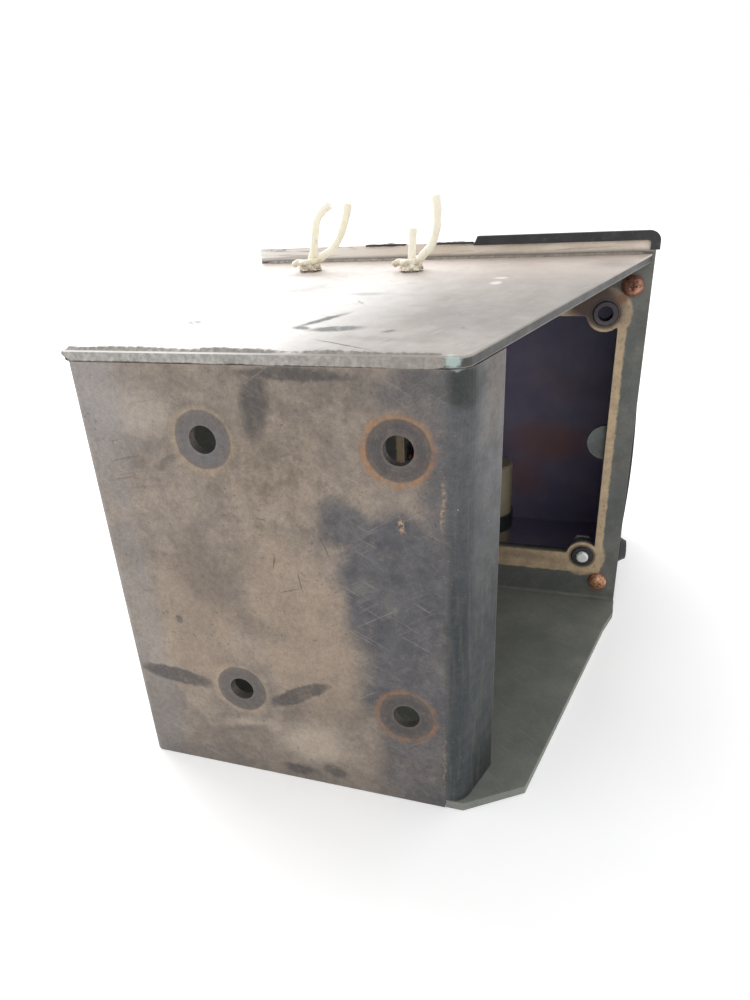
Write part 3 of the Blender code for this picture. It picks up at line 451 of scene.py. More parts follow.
def front_side(look, mottle, blotch):
    """Round the bend: a flange that darkens downwards as painted shade. Behind the face, plain grey steel."""
    x, y, z = look.x, look.y, look.z
    face_colour = look.colour
    bend = look.span(x, 140.5, 146.0)
    # Painted shade: the flange goes from grey at the top to dark at the bottom
    look.colour = look.tones(look.span(z, 172, 85), (108, 107, 110), (46, 54, 56))
    look.tint((58, 66, 72), look.span(y, 14, 3), 0.5)
    tanned = look.spot((154, 18, 178), (16, 14, 24), 0, 0.8, 1, look.wander)
    look.tint((122, 113, 104), tanned, look.span(y, 7, 13), 0.7)
    look.tint((104, 100, 95), mottle, 0.25)
    look.tint((66, 72, 76), blotch, 0.3)
    runs = look.noise(2.2, 3, 0.5, look.stretched((1, 1, 0.07)), 9.0)
    look.tint((112, 108, 102), look.span(runs, 0.5, 0.72, 0.0, 0.3))
    look.tint((44, 50, 47), look.spot((148, 0, 184), (9, 40, 9), 30, 0.5, 1, look.ragged, 0.75))
    look.tint((160, 176, 172), look.spot((146.5, 0, 190.5), (2.8, 30, 1.8), 0, 0.5, 1, look.ragged, 0.6))
    look.colour = look.mix(bend, face_colour, look.colour)
    within = look.times(look.span(x, 142.4, 142.2), look.span(y, 3.0, 3.8))
    inside = look.times(look.span(x, 1.8, 2.6), look.most(within, look.span(y, 24, 30)))
    look.tint(look.tones(mottle, (96, 100, 96), (114, 110, 102)), inside)


def front_steel():
    """The folded front: tan mill scale, slate stains, washer rings with rusty rims, smears."""
    look = Sheet("front_steel", 0.25, 0.4, FRONT_PLANE, (16, 15), (5, 5))
    face = look.span(look.y, 5.5, 1.5)
    mottle, blotch = front_ground(look)
    front_margins(look)
    front_slate(look, face)
    front_smears(look, face)
    front_scratches(look, face)
    dips = washer_rings(look, face)
    front_drips_and_highlights(look)
    front_side(look, mottle, blotch)
    flecks = look.times(look.cloud(1.1, 2, 0.5, 21.0, 0.70, 0.76),
                        look.cloud(12, 3, 0.5, 22.0, 0.45, 0.6))
    look.tint((196, 188, 176), flecks, 0.7)
    grain = look.noise(0.7, 4, 0.65, seed=12.0)
    look.speckle(0.32, look.span(grain, 0.25, 0.75), 0.25, 0.75)
    look.speckle(0.42, look.cloud(2.4, 6, 0.75, 48.0, 0.34, 0.66), 0.3, 0.7)
    look.tint((152, 146, 136), look.worn_edge(1.0), 0.4)
    look.colour = look.mix(1.0, look.colour, (0.80, 0.79, 0.785, 1.0), "MULTIPLY")
    look.bump(grain, 0.05, 0.5)
    look.bump(look.noise(9, 5, 0.6, seed=14.0), 0.25, 0.5)
    look.bump(look.math("SUBTRACT", 1.0, look.most(*dips)), 0.12, 0.8)
    return look.done(look.cloud(11, 5, 0.6, 15.0, 0.3, 0.7, 0.42, 0.62))


def lid_ground(look):
    """Bare steel with a painted highlight, brightest at the left and paler and warmer at the back. Gives its
    two clouds.
    """
    cloud = look.span(look.noise(28, 6, 0.6, look.stretched((1, 0.7, 1)), 2.0), 0.35, 0.7)
    across = look.math("SUBTRACT", look.axis("X", look.wander), look.math("MULTIPLY", look.y, 0.24))
    look.colour = look.tones(cloud, (138, 132, 126), (158, 151, 145))
    # Painted highlight: paler towards the left, where the light from the back left falls
    look.tint((226, 224, 222), look.span(across, 118, 48))
    mottle = look.cloud(6, 6, 0.7, 5.0, 0.42, 0.75)
    # Painted highlight: paler and warmer towards the back
    look.tint((212, 198, 188), look.span(look.y, 80, 175, 0.0, 0.75))
    look.tint((134, 129, 125), mottle, 0.25)
    return cloud, mottle


def lid_dirt(look):
    """Dull clouds, dark smears near the front, brown by the ties, chips at the right."""
    ragged = look.ragged
    dull = look.most(
        *look.patches(look.wander, (140, 46, 26, 40, 30, 0.9), (56, 100, 24, 16, 40, 0.9, 0.8),
                      (60, 62, 10, 22, 25, 0.9, 0.7), (36, 136, 24, 8, 0, 0.9, 0.7),
                      (196, 150, 16, 18, 0, 0.9, 0.8)),
        *look.patches(ragged, (90, 90, 15, 4.5, 0, 0.8, 0.9), (120, 18, 28, 4.5, -6, 0.8, 0.9)),
    )
    look.tint((110, 107, 106), dull, 0.42)
    dirt = look.most(
        *look.patches(ragged, (86, 44, 3.2, 18, -32, 0.7), (96, 31, 14, 5.2, 12, 0.6),
                      (82, 32, 6, 3.2, -28, 0.6, 0.9), (117, 28, 3.6, 2.2, 40, 0.7, 0.8),
                      (32, 40, 5.6, 4.2, -40, 0.6, 0.9), (27, 45, 3.0, 3.0, 0, 0.7, 0.6),
                      (31, 52, 1.4, 1.4, 0, 0.7), (143, 33, 1.2, 1.0, 0, 0.7),
                      (56, 17, 19, 1.3, 2, 0.8, 0.5), (92, 74, 1.0, 7, 30, 0.8, 0.5)),
        look.patch(look.warped(5, 1.2), 105, 11, 19, 0.7, -26, 0.7),
    )
    broken = look.cloud(2.4, 4, 0.65, 6.0, 0.24, 0.46)
    look.tint((70, 74, 71), dirt, broken, 0.95)
    ties = look.most(look.spot((43, 149, 208), (9, 7, 60), 0, 0.9, 2, ragged),
                     look.spot((98, 143, 207), (12, 8, 60), 0, 0.9, 2, ragged))
    look.tint((112, 96, 78), ties, 0.6)
    chips = look.most(*look.patches(ragged, (146, 121, 4.6, 3.4, 0, 0.6), (145, 110, 3.4, 5.4, 0, 0.6)))
    look.tint((214, 208, 200), chips, 0.85)
    rubbed = look.span(look.noise(0.9, 2, 0.5, look.stretched((1, 0.05, 1), 24, 2), 44.0), 0.62, 0.74)
    look.tint((196, 190, 184), rubbed, 0.35)


def lid_steel():
    """The sloping lid: bare and rubbed, with a painted highlight brightest at the left, smears of dark dirt
    and a ground front edge.
    """
    look = Sheet("lid_steel", 0.2, 0.45, LID_PLANE, (18, 14), (4, 4))
    cloud, mottle = lid_ground(look)
    lid_dirt(look)
    level = look.math("ADD", look.math("MULTIPLY", look.y, TOP_SLOPE), TOP_FRONT_MM)
    depth = look.math("SUBTRACT", level, look.z)
    rim = look.span(depth, 0.5, 1.2)
    look.tint(look.tones(mottle, (58, 59, 58), (78, 75, 72)), rim)
    under = look.span(depth, 3.6, 3.95)
    look.tint(look.tones(cloud, (96, 98, 96), (114, 109, 102)), under)
    corner = look.spot((145.0, 0.6, 192.5), (3.4, 3.2, 2.6), 0, 0.5, 2, look.ragged)
    look.tint((176, 196, 189), corner, 0.7)
    look.tint((170, 166, 158), look.worn_edge(1.0), 0.45)
    look.bump(look.noise(0.7, 4, 0.65, seed=12.0), 0.04, 0.5)
    look.bump(look.noise(14, 4, 0.6, seed=14.0), 0.3, 0.35)
    look.bump(look.noise(1.4, 3, 0.6, look.stretched((0.12, 1, 1), 17, 2), 16.0), 0.03, 0.5)
    return look.done(look.cloud(10, 5, 0.6, 15.0, 0.3, 0.7, 0.40, 0.56))


def window_band(look, mottle):
    """How far a place is inside the gasket's bare band, and the band's tan."""
    beyond = []
    for letter, middle, half in zip("XZ", WINDOW_MIDDLE_MM, WINDOW_HALF_MM):
        aside = look.math("SUBTRACT", look.axis(letter, look.ragged), middle)
        beyond.append(look.math("SUBTRACT", look.math("ABSOLUTE", aside), half))
    outside = look.most(*beyond)
    ears = [look.span(look.reach(across, up, look.ragged), 14.5, 12.6) for across, up in EARS_MM]
    band = look.most(look.span(outside, 0.8, -0.6), *[look.times(ear, 0.9) for ear in ears])
    tan = look.tones(mottle, (196, 172, 140), (160, 142, 120))
    spotted = look.cloud(2.2, 4, 0.6, 9.0, 0.55, 0.75, 0.0, 0.6)
    return band, look.mix(spotted, tan, srgb(112, 96, 80))


def rear_ledge(look, wall):
    """The strip above the lid, a painted highlight that is near white at the left, with thin layers and a
    dark tidemark along its top.
    """
    ledge = look.times(look.span(look.z, 210.5, 213.5), wall)
    # Painted highlight: the strip's pale tone and its near-white left stand for the light from the back left
    lit = look.tones(look.span(look.noise(9, 5, 0.6, look.stretched((0.3, 1, 1)), 19.0), 0.35, 0.65),
                     (222, 208, 192), (240, 228, 214))
    lit = look.mix(look.span(look.x, 110, 30), lit, srgb(252, 248, 242))
    look.tint(lit, ledge, 0.9)
    layers = look.noise(1.5, 4, 0.6, look.stretched((0.05, 1, 1)), 50.0)
    look.tint((150, 136, 124), look.span(layers, 0.5, 0.66, 0.0, 0.5), ledge)
    tidemark = look.span(look.noise(8, 5, 0.65, look.stretched((0.4, 1, 1)), 23.0), 0.5, 0.64)
    look.tint((64, 60, 58), tidemark, look.span(look.z, 216.0, 217.4), wall)


def rear_steel():
    """Base and rear wall: green-grey, the base painted paler as painted light, with a bare tan band where a
    gasket sat round the window.
    """
    look = Sheet("rear_steel", 0.2, 0.4, REAR_PLANE, (14, 9), (3.5, 2.6))
    cloud = look.cloud(26, 6, 0.6, 2.0, 0.35, 0.68)
    mottle = look.cloud(5, 6, 0.7, 5.0, 0.38, 0.72)
    # Painted light: the base is painted paler than the upright wall of the same sheet, for light the inside
    # of the box lacks
    look.colour = look.tones(cloud, (110, 116, 110), (130, 132, 125))
    look.tint((142, 136, 124), mottle, 0.3)
    upright = look.tones(cloud, (94, 97, 94), (112, 112, 106))
    upright = look.mix(look.times(mottle, 0.4), upright, srgb(74, 77, 74))
    wall = look.span(look.y, 174, 177.4)
    look.tint(upright, wall)
    band, tan = window_band(look, mottle)
    front = look.times(wall, look.span(look.y, 179.6, 178.6))
    look.tint(tan, look.times(band, front))
    # Painted shadow under the lid on the upper right ear, and a faint darker strip low across the window
    ear_shadow_and_strip = look.most(*look.patches(look.wander, (190, 186, 22, 15, 20, 0.5), (150, 30, 60, 5, 0, 0.8, 0.35)))
    look.tint((70, 56, 54), ear_shadow_and_strip, front, 0.95)
    rust = look.most(*look.patches(look.ragged, (207.8, 194.6, 8, 7.5, 0, 0.6),
                                   (203, 188, 8, 3.4, -40, 0.7, 0.8), (205.6, 11.2, 6, 4.6, 0, 0.7, 0.5)))
    look.tint((116, 74, 50), rust, front, 0.85)
    for across, up in EARS_MM:
        look.tint((58, 52, 48), look.span(look.reach(across, up), 8.6, 7.4), front, 0.75)
    rear_ledge(look, wall)
    floor = look.math("SUBTRACT", 1.0, wall)
    scratch = look.noise(0.9, 2, 0.5, look.stretched((0.06, 1, 1), 40, 2), 45.0)
    look.tint((160, 158, 148), look.span(scratch, 0.62, 0.74), floor, 0.5)
    look.tint((116, 112, 102), look.cloud(18, 5, 0.6, 30.0, 0.45, 0.75), 0.35, floor)
    grain = look.noise(0.7, 4, 0.65, seed=12.0)
    look.speckle(0.3, look.span(grain, 0.25, 0.75), 0.25, 0.75)
    look.tint((146, 140, 128), look.worn_edge(0.9), 0.5)
    look.bump(grain, 0.05, 0.5)
    look.bump(look.noise(9, 5, 0.6, seed=14.0), 0.2, 0.5)
    look.bump(look.times(band, front), 0.08, 0.6)
    return look.done(look.cloud(11, 5, 0.6, 15.0, 0.3, 0.7, 0.45, 0.66))


def weld_metal(name, light, dark):
    """Weld bead: bright crowns with soot in the ripples."""
    look = Look(name, 0.25, 0.4)
    mottle = look.cloud(2.0, 5, 0.65, 2.0, 0.35, 0.68)
    look.colour = look.tones(mottle, dark, light)
    look.tint((104, 100, 96), look.cloud(7, 4, 0.6, 4.0, 0.5, 0.72, 0.0, 0.5))
    look.tint((128, 118, 108), look.span(look.axis("X"), 72, 140, 0.0, 0.5))
    crescents = look.noise(1.5, 3, 0.5, look.stretched((1.0, 0.5, 0.3)), 47.0)
    look.tint((118, 113, 108), look.span(crescents, 0.4, 0.62, 0.0, 0.35))
    look.bump(crescents, 0.25, 0.6)
    look.bump(look.noise(0.5, 3, 0.6, seed=6.0), 0.06, 0.6)
    return look.done(look.span(mottle, 0.0, 1.0, 0.6, 0.46))


def scaled(colour, factor):
    """A linear colour made darker or lighter."""
    return tuple(min(1.0, c * factor) for c in colour[:3]) + (1.0,)


def plastic(name, colour, roughness=0.45, grain=0.5, dust=0.15, edge=0.0):
    """Moulded plastic: fine spark-eroded grain, a little dust and handling shine."""
    look = Look(name)
    cloud = look.cloud(22, 5, 0.6, 2.0, 0.35, 0.7)
    look.colour = look.mix(cloud, srgb(*colour), scaled(srgb(*colour), 0.72))
    look.tint((150, 142, 130), look.cloud(8, 6, 0.65, 3.0, 0.5, 0.72, 0.0, dust))
    if edge:
        look.tint((150, 148, 144), look.worn_edge(0.6), edge)
    look.bump(look.noise(0.45, 3, 0.6, seed=5.0), 0.05, grain)
    shine = look.noise(13, 4, 0.6, seed=6.0)
    return look.done(look.span(shine, 0.3, 0.7, roughness - 0.07, roughness + 0.1))


def metal(name, colour, roughness=0.35, stain=0.4, lines=(1, 1, 1), dirt=(70, 60, 52), metallic=0.85):
    """Machined or plated metal: fine tool lines, tarnish in clouds and rubbed edges."""
    look = Look(name, metallic)
    cloud = look.cloud(9, 5, 0.62, 2.0, 0.4, 0.72, 0.0, stain)
    look.colour = look.tones(cloud, colour, dirt)
    specks = look.cloud(1.3, 3, 0.6, 3.0, 0.62, 0.74, 0.0, stain)
    look.tint([c * 0.7 for c in dirt], specks)
    rubbed = look.times(look.worn_edge(0.5), 0.6)
    look.colour = look.mix(rubbed, look.colour, scaled(srgb(*colour), 1.35))
    tool = look.noise(0.5, 3, 0.6, look.stretched(lines), 5.0)
    look.bump(tool, 0.03, 0.6)
    rough = look.span(tool, 0.3, 0.7, roughness - 0.06, roughness + 0.08)
    return look.done(look.math("ADD", rough, look.math("MULTIPLY", cloud, 0.25)))


def cover_plastic():
    """The black rear cover. Inside it is a pale navy as painted light, with a brown stain low on the back
    wall.
    """
    look = Look("cover_plastic", 0.0, 0.35, ROOM_PLANE)
    x, y, z = (look.axis(letter) for letter in "XYZ")
    cloud = look.cloud(24, 5, 0.6, 2.0, 0.35, 0.7)
    look.colour = look.tones(cloud, (44, 44, 48), (56, 55, 58))
    look.tint((128, 122, 114), look.cloud(9, 6, 0.65, 3.0, 0.5, 0.75, 0.0, 0.22))
    room = look.times(look.span(y, 289.6, 289.3), look.span(x, 2.6, 3.2), look.span(x, 215.6, 214.4),
                      look.span(z, 2.4, 2.9), look.span(z, 208.6, 208.0))
    # Painted light: the inside is a pale navy, far paler than the cover's black outside, so the dark inside
    # of the box shows
    navy_painted_light = look.tones(cloud, (142, 136, 168), (158, 148, 174))
    stain = look.most(*look.patches(
        look.warped(20, 22), (168, 68, 46, 24, 0, 0.8), (152, 42, 24, 34, 0, 0.9, 0.8),
        (178, 112, 40, 16, 8, 0.9, 0.3)))
    look.tint(look.mix(look.times(stain, 0.7), navy_painted_light, srgb(172, 124, 118)), room)
    look.tint((120, 118, 116), look.worn_edge(1.2), 0.35)
    look.bump(look.noise(0.5, 3, 0.6, seed=5.0), 0.06, 0.6)
    look.bump(look.noise(30, 3, 0.5, seed=7.0), 0.4, 0.3)
    return look.done(look.cloud(13, 4, 0.6, 6.0, 0.3, 0.7, 0.42, 0.6))


def rubber():
    """Old black rubber with a pale bloom."""
    look = Look("old_rubber", 0.0, 0.4)
    cloud = look.cloud(12, 5, 0.6, 2.0, 0.35, 0.7)
    look.colour = look.tones(cloud, (40, 39, 42), (58, 57, 60))
    look.tint((112, 108, 104), look.cloud(4, 6, 0.7, 3.0, 0.52, 0.72, 0.0, 0.3))
    look.bump(look.noise(1.2, 4, 0.6, seed=5.0), 0.08, 0.6)
    return look.done(look.span(cloud, 0.0, 1.0, 0.5, 0.66))


def tie_plastic():
    """White wire coating, yellowed, with brown dirt at the knot."""
    look = Look("tie_plastic")
    height = look.axis("Z")
    cloud = look.cloud(9, 4, 0.6, 2.0, 0.35, 0.7)
    look.colour = look.tones(cloud, (252, 247, 230), (244, 236, 212))
    look.shader.inputs["Subsurface Weight"].default_value = 0.15
    look.shader.inputs["Subsurface Radius"].default_value = (0.002, 0.0016, 0.001)
    low = look.span(height, 216, 207.5)
    look.tint((128, 98, 66), low, look.cloud(2.6, 5, 0.6, 4.0, 0.34, 0.6), 0.8)
    cracks = look.noise(1.6, 3, 0.6, look.stretched((1, 1, 0.2)), 6.0)
    look.tint((170, 148, 108), look.span(cracks, 0.6, 0.7, 0.0, 0.35))
    look.bump(look.noise(0.9, 3, 0.6, seed=5.0), 0.06, 0.5)
    return look.done(look.span(cloud, 0, 1, 0.34, 0.48))


def copper(name, light, dark):
    """Copper plating under a brown crust."""
    look = Look(name, 0.6)
    cloud = look.cloud(3.4, 5, 0.65, 2.0, 0.38, 0.66)
    look.colour = look.tones(cloud, light, dark)
    look.tint((92, 56, 38), look.cloud(1.4, 4, 0.7, 4.0, 0.54, 0.68, 0.0, 0.85))
    look.bump(look.noise(0.8, 4, 0.65, seed=5.0), 0.12, 0.8)
    return look.done(look.span(cloud, 0, 1, 0.34, 0.62))


def board():
    """Green lacquered board with tinned pads and buried tracks."""
    look = Look("board_lacquer")
    tracks = look.new("TexBrick")
    tracks.inputs["Scale"].default_value = 1.0
    tracks.inputs["Brick Width"].default_value = 9.0
    tracks.inputs["Row Height"].default_value = 3.1
    tracks.inputs["Mortar Size"].default_value = 0.28
    look.feed(tracks.inputs["Vector"], look.stretched((1, 1, 1), 90, 0))
    shown = look.math("MULTIPLY", tracks.outputs["Fac"], 0.5)
    look.colour = look.tones(shown, (24, 84, 54), (60, 130, 84))
    pads = look.new("TexVoronoi")
    pads.inputs["Scale"].default_value = 0.32
    look.feed(pads.inputs["Vector"], look.stretched((1, 0.001, 1)))
    look.tint((176, 176, 166), look.span(pads.outputs["Distance"], 0.24, 0.18))
    look.bump(tracks.outputs["Fac"], 0.05, 0.5)
    return look.done(look.span(look.noise(12, 4, 0.6), 0.3, 0.7, 0.26, 0.42))


def paint(name, colour, grain=0.9, roughness=0.42):
    """Sprayed paint over a casting: orange peel, chips to grey metal on the edges."""
    look = Look(name, 0.0)
    cloud = look.cloud(15, 5, 0.6, 2.0, 0.35, 0.7)
    look.colour = look.mix(cloud, srgb(*colour), scaled(srgb(*colour), 0.7))
    greasy = look.cloud(7, 5, 0.6, 3.0, 0.52, 0.7, 0.0, 0.35)
    look.tint((88, 74, 58), greasy)
    edge = look.worn_edge(0.8)
    look.tint((152, 150, 146), edge, look.cloud(2.4, 4, 0.6, 4.0, 0.4, 0.6))
    look.bump(look.noise(1.1, 3, 0.55, seed=5.0), 0.12, grain)
    return look.done(look.span(greasy, 0.0, 0.35, roughness, roughness - 0.12))


STEELS = {"front_panel": front_steel(), "top_panel": lid_steel(), "rear_base_panel": rear_steel()}
LOOKS = {
    "black_rubber": rubber(),
    "white_nylon": plastic("gear_nylon", (236, 230, 212), 0.42, 0.4, 0.2),
    "copper_plate": copper("copper_plating", (214, 164, 130), (160, 108, 80)),
    "zinc_plate": metal("zinc_plating", (126, 131, 129), 0.4, 0.35, (1, 1, 0.15)),
    "black_plastic": plastic("black_moulding", (44, 44, 47), 0.5, 0.7, 0.2, 0.25),
    "grey_plastic": plastic("grey_moulding", (120, 122, 124), 0.48, 0.6, 0.25),
    "cream_plastic": plastic("capacitor_can", (188, 176, 148), 0.45, 0.3, 0.5),
    "red_plastic": plastic("red_moulding", (178, 40, 34), 0.4, 0.5, 0.12, 0.2),
    "green_plastic": plastic("green_moulding", (52, 132, 76), 0.4, 0.5, 0.12, 0.2),
    "blue_plastic": plastic("relay_case", (38, 72, 140), 0.36, 0.3, 0.1),
    "yellow_plastic": plastic("button_cap", (226, 186, 60), 0.36, 0.4, 0.12),
    "board_green": board(),
    "painted_casting": paint("casting_paint", (62, 63, 66)),
    "black_paint": paint("motor_paint", (40, 40, 43), 0.4, 0.34),
    "bronze": metal("bearing_bronze", (190, 150, 92), 0.32, 0.4, (0.15, 1, 1), (96, 70, 40)),
    "bright_steel": metal("ground_steel", (196, 196, 194), 0.24, 0.25, (0.12, 1, 1), (112, 102, 92)),
    "oiled_steel": metal("oiled_steel", (112, 108, 104), 0.36, 0.6, (1, 1, 1), (58, 50, 44)),
}

# How far each node's sharp edges are rounded, in millimetres
SOFTENED_MM = {
    "front_panel": 0.35, "top_panel": 0.5, "rear_base_panel": 0.45, "rear_edge_trim": 1.0,
    "rear_cover": 0.9, "gearbox_case": 1.2, "gearbox_lid": 0.8, "release_lever": 0.8,
    "drive_base": 0.35, "drive_sprocket": 0.3, "terminal_block": 0.3, "open_relay": 0.6,
    "close_relay": 0.6, "transformer": 0.5,
}


def paint_nodes():
    """Gives every node the look of its slot, and a few nodes one of their own."""
    slots = {entry["node"]: entry["material_slot"] for entry in frame["record"]["subparts"]}
    for name, node in NODES.items():
        look = STEELS.get(name) or LOOKS[slots[name]]
        node.data.materials.clear()
        node.data.materials.append(look)
    NODES["rear_cover"].data.materials[0] = cover_plastic()
    shank = metal("bolt_shank", (232, 234, 232), 0.36, 0.2, (1, 0.2, 1), (120, 116, 110), 0.3)
    for name in ("drive_bolt_low_left", "drive_bolt_low_right", "drive_bolt_top_left"):
        NODES[name].data.materials[0] = shank
    # The upper right screw: rustier, and darker as painted shade under the lid
    NODES["cover_screw_top_right"].data.materials[0] = copper("rusty_copper_in_shade", (176, 126, 104), (104, 72, 60))
    NODES["drive_base"].data.materials[0] = metal("dull_zinc", (100, 105, 103), 0.46, 0.4)
    # Painted light and shade: the upper right bush is a purplish grey, paler than the other bushes' black
    # rubber, to show as it looks in the shade under the lid
    NODES["bush_top_right"].data.materials[0] = plastic("rubber_painted_for_shade", (74, 67, 72), 0.6, 0.6, 0.2)


def soften_nodes():
    """Rounds the sharp edges that a real pressing, moulding or casting would not have."""
    for name, width in SOFTENED_MM.items():
        bevel = NODES[name].modifiers.new("Softened", "BEVEL")
        bevel.width = width * MM
        bevel.segments = 2
        bevel.limit_method = "ANGLE"
        bevel.angle_limit = math.radians(42)


def in_scene(name, data):
    made = bpy.data.objects.new(name, data)
    bpy.context.scene.collection.objects.link(made)
    return made


def link(name, mesh, look):
    """A piece from a bmesh in millimetres from the corner, riding on the housing."""
    data = bpy.data.meshes.new(name)
    bmesh.ops.recalc_face_normals(mesh, faces=mesh.faces)
    mesh.transform(Matrix.Scale(MM, 4) @ Matrix.Translation(CORNER_MM))
    mesh.to_mesh(data)
    mesh.free()
    made = in_scene(name, data)
    data.materials.append(look)
    data.shade_smooth()
    data.set_sharp_from_angle(angle=math.radians(40))
    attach(made, "housing")
    return made


def skin(mesh, rows):
    """Closed skin over rows of vertices, each row a ring."""
    around = len(rows[0])
    for before, after in zip(rows, rows[1:]):
        for k in range(around):
            j = (k + 1) % around
            mesh.faces.new((before[k], before[j], after[j], after[k]))
    mesh.faces.new(rows[0])
    mesh.faces.new(rows[-1])


def top_mm(y):
    return TOP_FRONT_MM + TOP_SLOPE * y


def behind_face(point):
    """Keeps a bead's point from standing out in front of the face."""
    return Vector((point.x, max(point.y, 0.06), point.z))


def bead(name, start, end, radius, look, pitch, seed, keep=None, squash=1.0):
    """A weld bead: a lumpy half-sunk rod whose overlapping crescents make its ripples."""
    start, end = Vector(start), Vector(end)
    length = (end - start).length
    along = (end - start).normalized()
    side = along.orthogonal().normalized()
    up = along.cross(side)
    rings = int(length / 0.55)
    around = 12
    mesh = bmesh.new()
    rows = []
    for i in range(rings + 1):
        far = length * i / rings
        step = (far / pitch + 0.35 * noise.noise((far * 0.15, seed, 0))) % 1.0
        swell = 1.0 + 0.10 * (1 - step) ** 2 - 0.05
        swell *= 1.0 + 0.2 * noise.noise((far * 0.07, seed, 3.0))
        taper = min(1.0, (far + 2) / 6, (length - far + 2) / 6)
        drift = Vector((0, 0, 0.35 * noise.noise((far * 0.05, seed, 9.0))))
        row = []
        for k in range(around):
            angle = math.tau * k / around
            out = side * math.cos(angle) + up * math.sin(angle)
            lump = 1.0 + 0.05 * noise.noise(Vector((far * 0.6, k * 1.7, seed)))
            offset = out * radius * swell * taper * lump
            point = start + along * far + drift
            point += Vector((offset.x, offset.y, offset.z * squash))
            if keep:
                point = keep(point)
            row.append(mesh.verts.new(point))
        rows.append(row)
    skin(mesh, rows)
    link(name, mesh, look)


def welds():
    """The lid's beads, which the photo shows, and the plain ones inside the box."""
    bright = weld_metal("bright_weld", (176, 173, 168), (146, 142, 137))
    thin = weld_metal("thin_weld", (184, 176, 166), (148, 140, 131))
    dull = weld_metal("dull_weld", (132, 128, 120), (84, 82, 78))
    rear = REAR_FACE_MM
    seam = top_mm(rear) + 0.1
    bead("lid_front_weld", (-2.2, 1.6, 192.9), (144, 1.6, 192.2), 2.95, bright, 4.2, 1, behind_face)
    bead("lid_left_weld", (-1.0, 1.6, 190.8), (-1.0, 176, top_mm(176) - 3.6), 2.3, bright, 3.4, 3,
         behind_face, 1.1)
    bead("lid_corner_weld", (137, 1.8, 192.6), (147, 3.4, 192.2), 1.9, dull, 3.5, 5, behind_face, 0.8)
    bead("lid_flange_weld", (150.6, 8.6, top_mm(8) - 4.8), (154.6, 20, top_mm(20) - 4.9), 1.4, dull, 2.6, 7)
    bead("lid_rear_weld", (3, rear, seam), (212, rear, seam), 1.2, thin, 2.8, 11)
    bead("lid_side_weld", (4.4, 12, top_mm(12) - 4.6), (4.4, 172, top_mm(172) - 4.6), 1.7, dull, 2.8, 13)
    bead("side_rear_weld", (4.6, rear, 10), (4.6, rear, 203), 1.7, dull, 2.8, 17)
    bead("base_side_weld", (4.5, 12, 4.4), (4.5, 172, 4.4), 1.7, dull, 2.8, 19)
    bead("base_front_weld", (12, 4.5, 4.4), (136, 4.5, 4.4), 1.7, dull, 2.8, 23)
    bead("base_flange_weld", (149.2, 9.5, 4.5), (153.2, 20.4, 4.5), 1.6, dull, 2.6, 29)


def torn_edging():
    """What is left of the rubber edging, left of where it was torn off."""
    look = LOOKS["black_rubber"]
    low_crown = 218.2
    for name, start, end, seed in (("edging_scrap_left", 64, 87, 2), ("edging_scrap_mid", 103, 124.6, 6)):
        mesh = bmesh.new()
        rows = []
        steps = int((end - start) / 0.9)
        for i in range(steps + 1):
            x = start + (end - start) * i / steps
            rough = noise.noise((x * 0.16, seed, 0))
            crown = 218.5 + 0.5 * rough + 0.3 * noise.noise((x * 0.6, seed, 4))
            hang = 217.6 + 0.3 * noise.noise((x * 0.22, seed, 8))
            taper = min(1.0, (i + 0.4) / 4, (steps - i + 0.4) / 4)
            crown = low_crown + (crown - low_crown) * taper
            front = REAR_FACE_MM - 0.9 * taper * (0.7 + 0.5 * rough)
            rows.append([mesh.verts.new(p) for p in (
                (x, front + 0.5, hang), (x, front, hang + 0.8), (x, front + 0.2, crown - 0.3),
                (x, 177.6, crown + 0.3), (x, 180.6, crown), (x, 181.2, 218.05), (x, 177.6, 217.9),
                (x, 177.3, hang + 0.2))])
        skin(mesh, rows)
        link(name, mesh, look)


def smooth_line(points, steps=7):
    """A smooth line through the points, with steps to each stretch."""
    line = []
    ends = [points[0] * 2 - points[1]] + points + [points[-1] * 2 - points[-2]]
    for a, b, c, d in zip(ends, ends[1:], ends[2:], ends[3:]):
        for i in range(steps):
            t = i / steps
            line.append(0.5 * (2 * b + (c - a) * t + (2 * a - 5 * b + 4 * c - d) * t * t
                               + (3 * b - a - 3 * c + d) * t ** 3))
    line.append(points[-1])
    return line


def add_tube(mesh, points, radius, bumpy=0.0, dome=True):
    """Adds a smooth round bar through the points, in millimetres, with a rounded far end."""
    line = smooth_line([Vector(p) for p in points])
    around = 16
    rows = []
    across = (line[1] - line[0]).normalized().orthogonal().normalized()
    for i, point in enumerate(line):
        ahead = (line[min(i + 1, len(line) - 1)] - line[max(i - 1, 0)]).normalized()
        across = (across - ahead * across.dot(ahead)).normalized()
        up = ahead.cross(across)
        size = radius * (1 + bumpy * noise.noise((i * 0.35, radius, len(line))))
        rows.append([
            mesh.verts.new(point + size * (across * math.cos(math.tau * k / around)
                                           + up * math.sin(math.tau * k / around)))
            for k in range(around)
        ])
    if dome:
        ahead = (line[-1] - line[-2]).normalized()
        last = rows[-1]
        for share, out in ((0.8, 0.35), (0.45, 0.5)):
            rows.append([mesh.verts.new(line[-1] + (v.co - line[-1]) * share + ahead * out * radius * 0.5)
                         for v in last])
    skin(mesh, rows)


def tube(name, points, radius, look, bumpy=0.0, dome=True):
    mesh = bmesh.new()
    add_tube(mesh, points, radius, bumpy, dome)
    return link(name, mesh, look)


